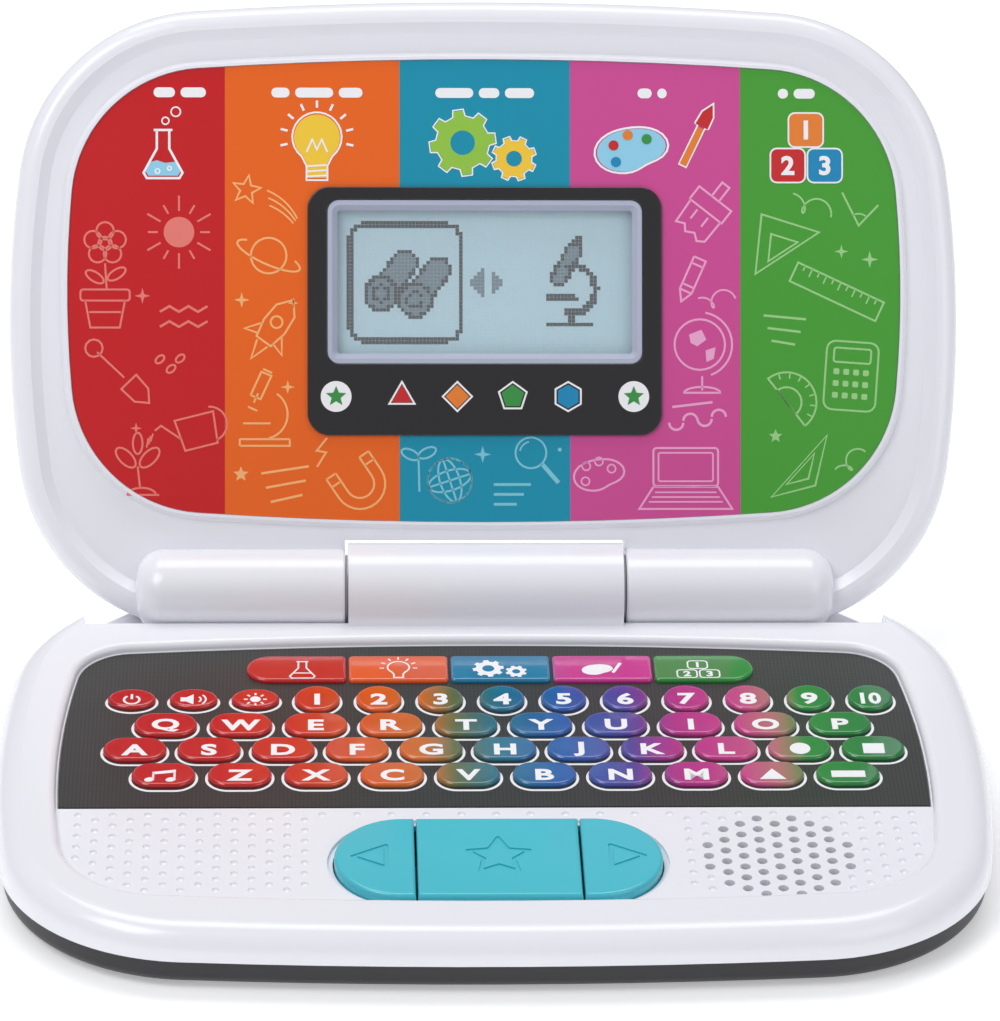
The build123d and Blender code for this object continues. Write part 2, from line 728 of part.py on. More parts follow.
with BuildPart() as lid_screws:
    with BuildSketch(lid_plane.offset(back_w + 1.2)):
        with Locations(*lid_screw_spots):
            Circle(2.4)
    extrude(amount=-0.9)
    with BuildSketch(lid_plane.offset(back_w + 1.2)):
        with Locations(*lid_screw_spots):
            Circle(1.0)
    extrude(amount=7.5)
    with BuildSketch(lid_plane.offset(back_w + 0.3)):
        with Locations(*lid_screw_spots):
            Rectangle(3.0, 0.6)
            Rectangle(0.6, 3.0)
    extrude(amount=0.5, mode=Mode.SUBTRACT)
write(lid_screws, "lid_screws")

with BuildPart() as lid_label:
    with BuildSketch(lid_plane.offset(panel_w)):
        add(panel())
        with Locations((0, screen_mid_v)):
            Rectangle(*screen_opening, mode=Mode.SUBTRACT)
    extrude(amount=label_thickness)
write(lid_label, "lid_label")

# ---------------------------------------------------------------- display
trim_size = (79.4, 41.2)
window_size = (75.6, 37.2)
bezel_w = panel_w + label_thickness

with BuildPart() as display_bezel:
    with BuildSketch(lid_plane.offset(bezel_w)):
        with Locations((0, display_mid_v)):
            RectangleRounded(*display_size, 5.6)
        with Locations((0, screen_mid_v)):
            RectangleRounded(trim_size[0] + 0.2, trim_size[1] + 0.2, 3.0, mode=Mode.SUBTRACT)
    extrude(amount=0.9)
    fillet(display_bezel.edges().group_by(lid_out)[-1], 0.35)
write(display_bezel, "display_bezel")

with BuildPart() as display_trim:
    with BuildSketch(lid_plane.offset(0.8)):
        with Locations((0, screen_mid_v)):
            RectangleRounded(*trim_size, 2.9)
    extrude(amount=1.5)
    with BuildSketch(lid_plane.offset(0.8)):
        with Locations((0, screen_mid_v)):
            RectangleRounded(window_size[0] - 1.0, window_size[1] - 1.0, 0.8)
    with BuildSketch(lid_plane.offset(2.3)):
        with Locations((0, screen_mid_v)):
            RectangleRounded(window_size[0] + 1.6, window_size[1] + 1.6, 1.8)
    loft(ruled=True, mode=Mode.SUBTRACT)
write(display_trim, "display_trim")

with BuildPart() as lcd_window:
    with BuildSketch(lid_plane.offset(0.0)):
        with Locations((0, screen_mid_v)):
            Rectangle(80.0, 41.8)
    extrude(amount=0.8)
write(lcd_window, "lcd_window")

with BuildPart() as lcd_module:
    with BuildSketch(lid_plane.offset(-3.7)):
        with Locations((0, screen_mid_v)):
            RectangleRounded(85.0, 43.6, 0.6)
    extrude(amount=1.9)
write(lcd_module, "lcd_module")

with BuildPart() as display_board:
    with BuildSketch(lid_plane.offset(screen_board_w)):
        with Locations((0, screen_mid_v)):
            RectangleRounded(*screen_board, 1.5)
        with Locations(*screen_screws):
            Circle(1.1, mode=Mode.SUBTRACT)
    extrude(amount=1.6)
write(display_board, "display_board")

with BuildPart() as display_board_screws:
    with BuildSketch(lid_plane.offset(screen_board_w)):
        with Locations(*screen_screws):
            Circle(1.8)
    extrude(amount=-1.1)
    with BuildSketch(lid_plane.offset(screen_board_w)):
        with Locations(*screen_screws):
            Circle(0.8)
    extrude(amount=3.4)
write(display_board_screws, "display_board_screws")

# ---------------------------------------------------------------- hinge
for label, side in (("hinge_pin_left", -1), ("hinge_pin_right", 1)):
    with BuildPart() as hinge_pin:
        with BuildSketch(base_section.offset(side * 30.2)):
            Circle(pin_radius)
        extrude(amount=side * 16.8)
        with BuildSketch(base_section.offset(side * 28.8)):
            Circle(6.0)
        extrude(amount=side * 1.4)
        with BuildSketch(base_section.offset(side * 28.8)):
            Circle(2.4)
        extrude(amount=side * 18.2, mode=Mode.SUBTRACT)
    write(hinge_pin, label)

with BuildPart() as friction_washers:
    for side in (-1, 1):
        with BuildSketch(base_section.offset(side * (knuckle_half + 0.15))):
            Circle(9.0)
            Circle(pin_radius, mode=Mode.SUBTRACT)
        extrude(amount=side * 0.55)
write(friction_washers, "friction_washers")

everything = [base_top_shell.part, lid_front_shell.part, lid_back_shell.part, rubber_feet.part]
span = Compound(children=everything).bounding_box()
print("overall size", span.size)
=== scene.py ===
import json
from math import cos, hypot, pi, radians, sin

import bpy
from mathutils import Matrix, Vector

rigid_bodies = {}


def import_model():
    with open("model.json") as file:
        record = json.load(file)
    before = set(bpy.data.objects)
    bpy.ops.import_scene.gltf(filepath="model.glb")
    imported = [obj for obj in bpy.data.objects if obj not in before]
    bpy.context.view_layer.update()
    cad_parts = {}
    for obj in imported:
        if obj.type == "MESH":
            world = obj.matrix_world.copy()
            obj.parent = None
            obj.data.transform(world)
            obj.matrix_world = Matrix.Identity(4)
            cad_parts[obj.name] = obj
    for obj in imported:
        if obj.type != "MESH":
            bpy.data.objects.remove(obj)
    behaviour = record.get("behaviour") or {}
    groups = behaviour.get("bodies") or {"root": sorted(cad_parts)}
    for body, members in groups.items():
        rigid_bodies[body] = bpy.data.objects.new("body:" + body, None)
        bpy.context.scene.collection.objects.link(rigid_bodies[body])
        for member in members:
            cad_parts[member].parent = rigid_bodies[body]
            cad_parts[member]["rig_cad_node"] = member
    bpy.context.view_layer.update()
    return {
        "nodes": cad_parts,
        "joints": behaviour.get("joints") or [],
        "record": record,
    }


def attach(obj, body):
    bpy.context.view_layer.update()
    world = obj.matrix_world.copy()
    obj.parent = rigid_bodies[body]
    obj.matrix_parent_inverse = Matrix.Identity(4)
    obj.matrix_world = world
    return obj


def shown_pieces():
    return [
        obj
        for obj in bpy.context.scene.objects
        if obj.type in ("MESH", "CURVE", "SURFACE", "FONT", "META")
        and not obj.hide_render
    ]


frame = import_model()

nodes = frame["nodes"]
record = frame["record"]
MM = 0.001

# ---------------------------------------------------------------- places, from the frame
hinge = next(j for j in frame["joints"] if j["name"] == "lid_hinge")
press = next(j for j in frame["joints"] if j["name"] == "star_button_press")
LEAN = radians(28.0)
lid_origin = Vector(hinge["pos_m"])
lid_u = Vector((1, 0, 0))
lid_v = Vector((0, sin(LEAN), cos(LEAN)))
lid_w = Vector((0, -cos(LEAN), sin(LEAN)))
deck_n = -Vector(press["axis"]).normalized()
deck_x = Vector((1, 0, 0))
deck_y = deck_n.cross(deck_x)
foot = [m for m in record["mounts"] if m["name"].startswith("foot")]
FEET_BEHIND_CENTRE = -1.0 * MM
BASE_Y = sum(m["pos_m"][1] for m in foot) / len(foot) - FEET_BEHIND_CENTRE


def level(node, axis, origin):
    """Lowest and highest place of a node's mesh along an axis through origin."""
    heights = [(v.co - origin).dot(axis) for v in nodes[node].data.vertices]
    return min(heights), max(heights)


deck_origin = Vector((0, BASE_Y, 0))
FILM_BASE = level("keyboard_overlay", deck_n, deck_origin)[0]
FILM_THICKNESS = 0.4 * MM
DOME_TOP = 1.1             # millimetres above the film
DOME_START = 0.05 * MM
deck_origin = deck_origin + deck_n * (FILM_BASE + FILM_THICKNESS)
lid_label_top = level("lid_label", lid_w, lid_origin)[1]
bezel_top = level("display_bezel", lid_w, lid_origin)[1]
lcd_top = level("lcd_module", lid_w, lid_origin)[1]


class Surface:
    """A flat sheet to draw on: millimetres in its own x and y, raised by a height."""

    def __init__(self, origin, x_dir, y_dir, normal):
        self.origin, self.x_dir, self.y_dir, self.normal = origin, x_dir, y_dir, normal

    def at(self, x, y, height=0.0):
        return self.origin + (self.x_dir * x + self.y_dir * y + self.normal * height) * MM


DECK = Surface(deck_origin, deck_x, deck_y, deck_n)
LABEL = Surface(lid_origin + lid_w * lid_label_top, lid_u, lid_v, lid_w)
BEZEL = Surface(lid_origin + lid_w * bezel_top, lid_u, lid_v, lid_w)
LCD = Surface(lid_origin + lid_w * lcd_top, lid_u, lid_v, lid_w)


# ---------------------------------------------------------------- materials
def new_material(name):
    """An empty node material with its shader."""
    material = bpy.data.materials.new(name)
    material.use_nodes = True
    tree = material.node_tree
    return material, tree, tree.nodes["Principled BSDF"]


def add_node(tree, kind, **values):
    """A node with its properties or inputs set by name."""
    node = tree.nodes.new(kind)
    for key, value in values.items():
        if hasattr(node, key):
            setattr(node, key, value)
        else:
            node.inputs[key.replace("_", " ")].default_value = value
    return node


def object_place(tree):
    """Places on the piece at rest, in metres."""
    return add_node(tree, "ShaderNodeTexCoord").outputs["Object"]


def noise(tree, scale, detail=3.0, source=None):
    """Fine natural variation at a scale per metre."""
    node = add_node(tree, "ShaderNodeTexNoise", Scale=scale, Detail=detail)
    tree.links.new(source or object_place(tree), node.inputs["Vector"])
    return node.outputs["Fac"]


def spread(tree, value, low, high):
    """Maps a 0 to 1 value to a range."""
    node = add_node(tree, "ShaderNodeMapRange")
    node.inputs["To Min"].default_value = low
    node.inputs["To Max"].default_value = high
    tree.links.new(value, node.inputs["Value"])
    return node.outputs["Result"]


def surface_detail(tree, shader, roughness, vary, bump, fine_scale, coarse_scale=22.0):
    """Handling marks in the roughness and a moulded micro-texture in the bump."""
    coarse = noise(tree, coarse_scale, 5.0)
    tree.links.new(spread(tree, coarse, roughness - vary, roughness + vary), shader.inputs["Roughness"])
    grain = noise(tree, fine_scale, 2.0)
    node = add_node(tree, "ShaderNodeBump")
    node.inputs["Strength"].default_value = bump
    node.inputs["Distance"].default_value = 0.0001
    tree.links.new(grain, node.inputs["Height"])
    tree.links.new(node.outputs["Normal"], shader.inputs["Normal"])


def tinted(tree, shader, colour, spread_by=0.04, scale=14.0):
    """A base colour that drifts a little over the piece."""
    ramp = add_node(tree, "ShaderNodeValToRGB")
    ramp.color_ramp.elements[0].color = (*[c * (1 - spread_by) for c in colour], 1)
    ramp.color_ramp.elements[1].color = (*[min(1.0, c * (1 + spread_by)) for c in colour], 1)
    tree.links.new(noise(tree, scale, 4.0), ramp.inputs["Fac"])
    tree.links.new(ramp.outputs["Color"], shader.inputs["Base Color"])


def plastic(name, colour, roughness=0.3, vary=0.05, bump=0.05, fine=2600.0, coat=0.0, metal=0.0,
            spread_by=0.04):
    """Moulded plastic, rubber or metal in one colour."""
    material, tree, shader = new_material(name)
    tinted(tree, shader, colour, spread_by)
    surface_detail(tree, shader, roughness, vary, bump, fine)
    shader.inputs["Coat Weight"].default_value = coat
    shader.inputs["Coat Roughness"].default_value = 0.08
    shader.inputs["Metallic"].default_value = metal
    return material


def banded(name, stops, roughness=0.25, interpolation="CONSTANT", coat=0.0, bump=0.03):
    """Colour that changes along X: stops are (x in mm, colour)."""
    material, tree, shader = new_material(name)
    split = add_node(tree, "ShaderNodeSeparateXYZ")
    tree.links.new(object_place(tree), split.inputs["Vector"])
    low, high = stops[0][0], stops[-1][0]
    place = add_node(tree, "ShaderNodeMapRange")
    place.inputs["From Min"].default_value = low * MM
    place.inputs["From Max"].default_value = high * MM
    tree.links.new(split.outputs["X"], place.inputs["Value"])
    ramp = add_node(tree, "ShaderNodeValToRGB")
    ramp.color_ramp.interpolation = interpolation
    first, last = ramp.color_ramp.elements
    first.position, first.color = 0.0, (*stops[0][1], 1)
    last.position, last.color = 1.0, (*stops[-1][1], 1)
    for x, colour in stops[1:-1]:
        element = ramp.color_ramp.elements.new((x - low) / (high - low))
        element.color = (*colour, 1)
    tree.links.new(place.outputs["Result"], ramp.inputs["Fac"])
    tree.links.new(ramp.outputs["Color"], shader.inputs["Base Color"])
    surface_detail(tree, shader, roughness, 0.06, bump, 1800.0)
    shader.inputs["Coat Weight"].default_value = coat
    shader.inputs["Coat Roughness"].default_value = 0.05
    return material


def srgb(r, g, b):
    """A colour given as 0 to 255 display values, in linear light."""
    return tuple(((c / 255 + 0.055) / 1.055) ** 2.4 if c > 10 else c / 3294.6 for c in (r, g, b))


RED, ORANGE, TEAL = srgb(204, 22, 28), srgb(242, 104, 20), srgb(10, 148, 178)
PINK, GREEN = srgb(212, 78, 152), srgb(72, 162, 52)
TINTS = {
    "red": srgb(238, 128, 118), "orange": srgb(253, 186, 120), "teal": srgb(130, 205, 222),
    "pink": srgb(244, 172, 212), "green": srgb(160, 214, 140),
}
STRIPE, STRIPE_MID = 43.5, -0.6
BANDS = [
    (-120, RED), (STRIPE_MID - 1.5 * STRIPE, ORANGE), (STRIPE_MID - 0.5 * STRIPE, TEAL),
    (STRIPE_MID + 0.5 * STRIPE, PINK), (STRIPE_MID + 1.5 * STRIPE, GREEN), (120, GREEN),
]

white_plastic = plastic("white_plastic", srgb(243, 243, 249), 0.24, 0.05, 0.02, coat=0.25, spread_by=0.012)
black_plastic = plastic("black_plastic", srgb(40, 40, 44), 0.42, 0.06, 0.10, 1500.0, spread_by=0.08)
cyan_plastic = plastic("cyan_plastic", srgb(70, 196, 212), 0.22, 0.04, 0.02, coat=0.3)
label_print = banded("label_print", BANDS, 0.30, coat=0.15)
bezel_black = plastic("bezel_black", srgb(38, 36, 37), 0.22, 0.05, 0.02, coat=0.4)
trim_grey = plastic("trim_grey", srgb(186, 190, 210), 0.25, 0.04, 0.02, coat=0.2)
board_green = plastic("board_green", srgb(20, 92, 48), 0.35, 0.08, 0.15, 900.0, spread_by=0.2)
chip_black = plastic("chip_black", srgb(28, 28, 30), 0.5, 0.1, 0.1, 1800.0)
rubber_black = plastic("rubber_black", srgb(30, 30, 31), 0.75, 0.08, 0.25, 1200.0, spread_by=0.15)
silicone = plastic("silicone_grey", srgb(190, 190, 192), 0.55, 0.08, 0.1, 1200.0)
steel = plastic("plated_steel", srgb(170, 170, 175), 0.32, 0.1, 0.08, 1600.0, metal=1.0, spread_by=0.1)
sheet_white = plastic("switch_sheet", srgb(196, 198, 188), 0.4, 0.05, 0.05)
sleeve = plastic("battery_sleeve", srgb(52, 56, 62), 0.3, 0.05, 0.03, coat=0.2)
cone_paper = plastic("speaker_paper", srgb(20, 20, 20), 0.85, 0.06, 0.5, 2400.0, spread_by=0.2)
ink_white = plastic("ink_white", srgb(250, 250, 252), 0.35, 0.05, 0.02, spread_by=0.01)
KEYS_X = 3.0               # the key block sits right of centre
KEY_STOPS = [
    (-100, srgb(190, 16, 24)), (-52, srgb(205, 30, 22)), (-34, srgb(228, 92, 20)), (-20, srgb(214, 112, 30)),
    (-12, srgb(96, 110, 60)), (-2, srgb(28, 116, 140)), (14, srgb(34, 96, 176)), (30, srgb(82, 70, 160)),
    (42, srgb(176, 40, 132)), (58, srgb(206, 60, 140)), (66, srgb(190, 110, 120)), (73, srgb(40, 140, 60)),
    (100, srgb(16, 116, 58)),
]
key_gloss = banded("key_gloss", [(x + KEYS_X, c) for x, c in KEY_STOPS], 0.14, "LINEAR", coat=0.8)
TOPIC_STOPS = [
    (-70, srgb(196, 26, 26)), (-38, srgb(232, 92, 34)), (-12.7, srgb(24, 124, 166)),
    (12.7, srgb(206, 56, 146)),
    (38, srgb(42, 144, 60)), (70, srgb(42, 144, 60)),
]
topic_gloss = banded("topic_gloss", [(x + KEYS_X, c) for x, c in TOPIC_STOPS], 0.16, coat=0.8)


def film_material():
    """The dark film: a fine printed dot grid near its edges, soft sheen."""
    material, tree, shader = new_material("key_film_dark")
    place = object_place(tree)
    wave_x = add_node(tree, "ShaderNodeTexWave", bands_direction="X", Scale=330.0)
    wave_y = add_node(tree, "ShaderNodeTexWave", bands_direction="Y", Scale=330.0)
    tree.links.new(place, wave_x.inputs["Vector"])
    tree.links.new(place, wave_y.inputs["Vector"])
    product = add_node(tree, "ShaderNodeMath", operation="MULTIPLY")
    tree.links.new(wave_x.outputs["Fac"], product.inputs[0])
    tree.links.new(wave_y.outputs["Fac"], product.inputs[1])
    ramp = add_node(tree, "ShaderNodeValToRGB")
    ramp.color_ramp.elements[0].color = (*srgb(36, 38, 37), 1)
    ramp.color_ramp.elements[1].color = (*srgb(62, 66, 64), 1)
    tree.links.new(product.outputs["Value"], ramp.inputs["Fac"])
    tree.links.new(ramp.outputs["Color"], shader.inputs["Base Color"])
    surface_detail(tree, shader, 0.38, 0.06, 0.05, 2000.0)
    return material


def clear_material():
    """The clear window over the display."""
    material, tree, shader = new_material("window_clear")
    shader.inputs["Base Color"].default_value = (0.9, 0.95, 0.97, 1)
    shader.inputs["Alpha"].default_value = 0.08
    surface_detail(tree, shader, 0.06, 0.02, 0.01, 900.0)
    return material


def lcd_material():
    """The display's pale panel with its faint pixel grid."""
    material, tree, shader = new_material("lcd_face")
    brick = add_node(tree, "ShaderNodeTexBrick", offset=0.0, Scale=1.0)
    brick.inputs["Brick Width"].default_value = PIXEL * MM
    brick.inputs["Row Height"].default_value = PIXEL * MM
    brick.inputs["Mortar Size"].default_value = 0.04 * MM
    brick.inputs["Mortar Smooth"].default_value = 0.4
    brick.inputs["Color1"].default_value = (*srgb(190, 220, 230), 1)
    brick.inputs["Color2"].default_value = (*srgb(186, 217, 228), 1)
    brick.inputs["Mortar"].default_value = (*srgb(170, 200, 212), 1)
    axes = add_node(tree, "ShaderNodeMapping", vector_type="POINT")
    axes.inputs["Rotation"].default_value = (LEAN - pi / 2, 0, 0)
    tree.links.new(object_place(tree), axes.inputs["Vector"])
    tree.links.new(axes.outputs["Vector"], brick.inputs["Vector"])
    tree.links.new(brick.outputs["Color"], shader.inputs["Base Color"])
    surface_detail(tree, shader, 0.45, 0.05, 0.02, 1500.0)
    return material


PIXEL = 0.92
key_film_dark = film_material()
window_clear = clear_material()
lcd_face = lcd_material()

NODE_LOOKS = {
    "base_top_shell": white_plastic, "lid_front_shell": white_plastic, "lid_back_shell": white_plastic,
    "base_bottom_shell": black_plastic, "battery_door": black_plastic, "rubber_feet": rubber_black,
    "base_screws": steel, "battery_door_screw": steel, "lid_screws": steel, "board_fixings": steel,
    "display_board_screws": steel, "hinge_pin_left": steel, "hinge_pin_right": steel,
    "battery_contacts": steel, "speaker_frame": steel, "speaker_magnet": steel,
    "battery_1": sleeve, "battery_2": sleeve, "battery_3": sleeve,
    "main_board": board_green, "button_board": board_green, "display_board": board_green,
    "board_components": chip_black, "keyboard_overlay": key_film_dark, "key_membrane": sheet_white,
    "left_arrow_button": cyan_plastic, "star_button": cyan_plastic, "right_arrow_button": cyan_plastic,
    "button_rubber_pad": silicone, "friction_washers": silicone, "speaker_cone": cone_paper,
    "lid_label": label_print, "display_bezel": bezel_black, "display_trim": trim_grey,
    "lcd_window": window_clear, "lcd_module": lcd_face,
}
for name, look in NODE_LOOKS.items():
    mesh = nodes[name].data
    mesh.materials.clear()
    mesh.materials.append(look)

# raised key domes take their own glossy colours
TOPIC_ROW_Y, TOPIC_HALF_HEIGHT = 38.8, 6.2
TOPIC_FACE, KEY_FACE = 2, 1
overlay = nodes["keyboard_overlay"].data
overlay.materials.append(key_gloss)
overlay.materials.append(topic_gloss)
for face in overlay.polygons:
    place = face.center - DECK.origin
    if place.dot(deck_n) > DOME_START:
        is_topic = abs(place.dot(deck_y) / MM - TOPIC_ROW_Y) < TOPIC_HALF_HEIGHT
        face.material_index = TOPIC_FACE if is_topic else KEY_FACE


# ---------------------------------------------------------------- drawing in thin raised ink
class Ink:
    """Collects thin closed prisms on a surface and makes one piece of them."""

    def __init__(self, surface, base=0.0, thickness=0.05):
        self.surface, self.base, self.thickness = surface, base, thickness
        self.points, self.faces = [], []

    def fill(self, outline):
        """A closed shape from points in order."""
        count, start = len(outline), len(self.points)
        for height in (self.base, self.base + self.thickness):
            self.points += [self.surface.at(x, y, height) for x, y in outline]
        area = sum(a[0] * b[1] - b[0] * a[1] for a, b in zip(outline, outline[1:] + outline[:1]))
        order = list(range(count)) if area > 0 else list(reversed(range(count)))
        self.faces.append([start + count + k for k in order])
        self.faces.append([start + k for k in reversed(order)])
        for a, b in zip(order, order[1:] + order[:1]):
            self.faces.append([start + a, start + b, start + count + b, start + count + a])

    def line(self, path, width=0.55, closed=False):
        """A stroke of even width along a path."""
        steps = [hypot(b[0] - a[0], b[1] - a[1]) for a, b in zip(path, path[1:])]
        path = path[:1] + [p for p, step in zip(path[1:], steps) if step > 0.01]
        count = len(path)
        left, right = [], []
        for k, (x, y) in enumerate(path):
            before = path[k - 1] if (k or closed) else path[k]
            after = path[(k + 1) % count] if (k < count - 1 or closed) else path[k]
            first = Vector((x - before[0], y - before[1]))
            second = Vector((after[0] - x, after[1] - y))
            first = first.normalized() if first.length > 1e-6 else second.normalized()
            second = second.normalized() if second.length > 1e-6 else first
            bisector = (first + second).normalized() if (first + second).length > 0.2 else second
            reach = width / 2 / max(0.5, bisector.dot(second))
            side = Vector((-bisector.y, bisector.x)) * reach
            left.append((x + side.x, y + side.y))
            right.append((x - side.x, y - side.y))
        last = count if closed else count - 1
        for k in range(last):
            n = (k + 1) % count
            self.fill([left[k], right[k], right[n], left[n]])

    def ring(self, outer, inner):
        """The band between two outlines with as many points."""
        count = len(outer)
        for k in range(count):
            n = (k + 1) % count
            self.fill([outer[k], outer[n], inner[n], inner[k]])

    def make(self, name, material, body, slot):
        """Turns what was drawn into a piece that rides on a body."""
        mesh = bpy.data.meshes.new(name)
        mesh.from_pydata(self.points, [], self.faces)
        mesh.materials.append(material)
        piece = bpy.data.objects.new(name, mesh)
        bpy.context.scene.collection.objects.link(piece)
        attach(piece, body)
        return piece


def circle(cx, cy, radius, count=28, start=0.0, sweep=2 * pi, squash=1.0):
    """Points round a circle or along part of one."""
    whole = abs(sweep - 2 * pi) < 1e-6
    steps = count if whole else count - 1
    angles = [start + sweep * k / steps for k in range(count)]
    return [(cx + radius * cos(a), cy + radius * squash * sin(a)) for a in angles]


def turned(points, cx, cy, degrees, scale=1.0):
    """A shape drawn about the origin, turned, scaled and moved."""
    c, s = cos(radians(degrees)) * scale, sin(radians(degrees)) * scale
    return [(cx + x * c - y * s, cy + x * s + y * c) for x, y in points]


def ray(cx, cy, angle, inner, outer):
    """A short line pointing away from a centre."""
    c, s = cos(angle), sin(angle)
    return [(cx + inner * c, cy + inner * s), (cx + outer * c, cy + outer * s)]


def star_points(cx, cy, outer, inner, count=5, tilt=90.0):
    """A star's corners."""
    return [
        (cx + r * cos(radians(tilt + 180 * k / count)), cy + r * sin(radians(tilt + 180 * k / count)))
        for k, r in enumerate((outer, inner) * count)
    ]


def rounded_box(cx, cy, width, height, radius, per_corner=5):
    """A rectangle with round corners."""
    points = []
    for k, (sx, sy) in enumerate(((1, 1), (-1, 1), (-1, -1), (1, -1))):
        x, y = cx + sx * (width / 2 - radius), cy + sy * (height / 2 - radius)
        points += circle(x, y, radius, per_corner, start=k * pi / 2, sweep=pi / 2)
    return points


def curl(cx, cy, size, degrees=0.0, turns=1.4):
    """A loose squiggle with a loop."""
    points = []
    for k in range(26):
        t = k / 25
        a = 2 * pi * t * turns
        points.append((size * (t * 2 - 1) + size * 0.35 * sin(a), size * 0.45 * cos(a)))
    return turned(points, cx, cy, degrees)


# ---------------------------------------------------------------- icons, each drawn about its own centre
def flask_lines(cx, cy, s, degrees=0.0):
    body = [(-1.6, 6), (-1.6, 1.2), (-5, -5), (-4.2, -6.4), (4.2, -6.4), (5, -5), (1.6, 1.2), (1.6, 6)]
    rim = [(-2.4, 6), (2.4, 6)]
    return [(turned(body, cx, cy, degrees, s), False), (turned(rim, cx, cy, degrees, s), False)]


def flask_liquid(cx, cy, s, degrees=0.0):
    surface = [(-3.6, -2.4), (-1.6, -1.9), (0.6, -2.6), (3.6, -2.2)]
    return turned(surface + [(4.6, -5), (3.9, -6), (-3.9, -6), (-4.6, -5)], cx, cy, degrees, s)


def gear_points(cx, cy, radius, teeth=8, depth=0.2, tilt=0.0):
    points = []
    for k in range(teeth):
        for part, r in ((-0.30, 1 - depth), (-0.2, 1.0), (0.2, 1.0), (0.30, 1 - depth)):
            a = 2 * pi * (k + part) / teeth + radians(tilt)
            points.append((cx + radius * r * cos(a), cy + radius * r * sin(a)))
    return points


def bulb_points(cx, cy, s):
    glass = circle(0, 1.5, 5.2, 22, start=radians(-52), sweep=radians(284))
    return turned(glass + [(-2.2, -4.6), (-2.2, -7.6), (2.2, -7.6), (2.2, -4.6)], cx, cy, 0, s)


def palette_points(cx, cy, s):
    points = []
    for k in range(30):
        a = 2 * pi * k / 30
        r = 7.0 + 0.9 * cos(2 * a) - 1.5 * max(0.0, cos(a + 0.9)) ** 6
        points.append((r * cos(a), r * 0.78 * sin(a)))
    return turned(points, cx, cy, 8, s)


def sparkle(ink, cx, cy, size):
    ink.fill(star_points(cx, cy, size, size * 0.3, 4))


def sun(ink, cx, cy, size, width):
    ink.fill(circle(cx, cy, size * 0.42))
    for k in range(12):
        a = 2 * pi * k / 12
        reach = 1.0 if k % 2 else 0.85
        ink.line(ray(cx, cy, a, size * 0.58, size * reach), width)


def microscope(ink, cx, cy, s, width):
    for path in (
        [(-6, -7), (6, -7)], [(-6, -8.6), (6, -8.6), (6, -7)], [(-6, -8.6), (-6, -7)],
        circle(-0.5, -1.0, 6.0, 14, start=radians(-75), sweep=radians(130)),
        [(-3.4, 3.6), (-0.8, 9.2), (1.6, 8.2), (-1.0, 2.6), (-3.4, 3.6)],
        [(-2.6, 1.8), (-1.6, 4.0)], [(-4.0, 0.8), (-1.8, -0.2)], [(-5.2, -3.2), (1.4, -3.2)],
        [(-0.4, 9.9), (1.8, 8.9)],
    ):
        ink.line(turned(path, cx, cy, 0, s), width)


LINE = 0.5


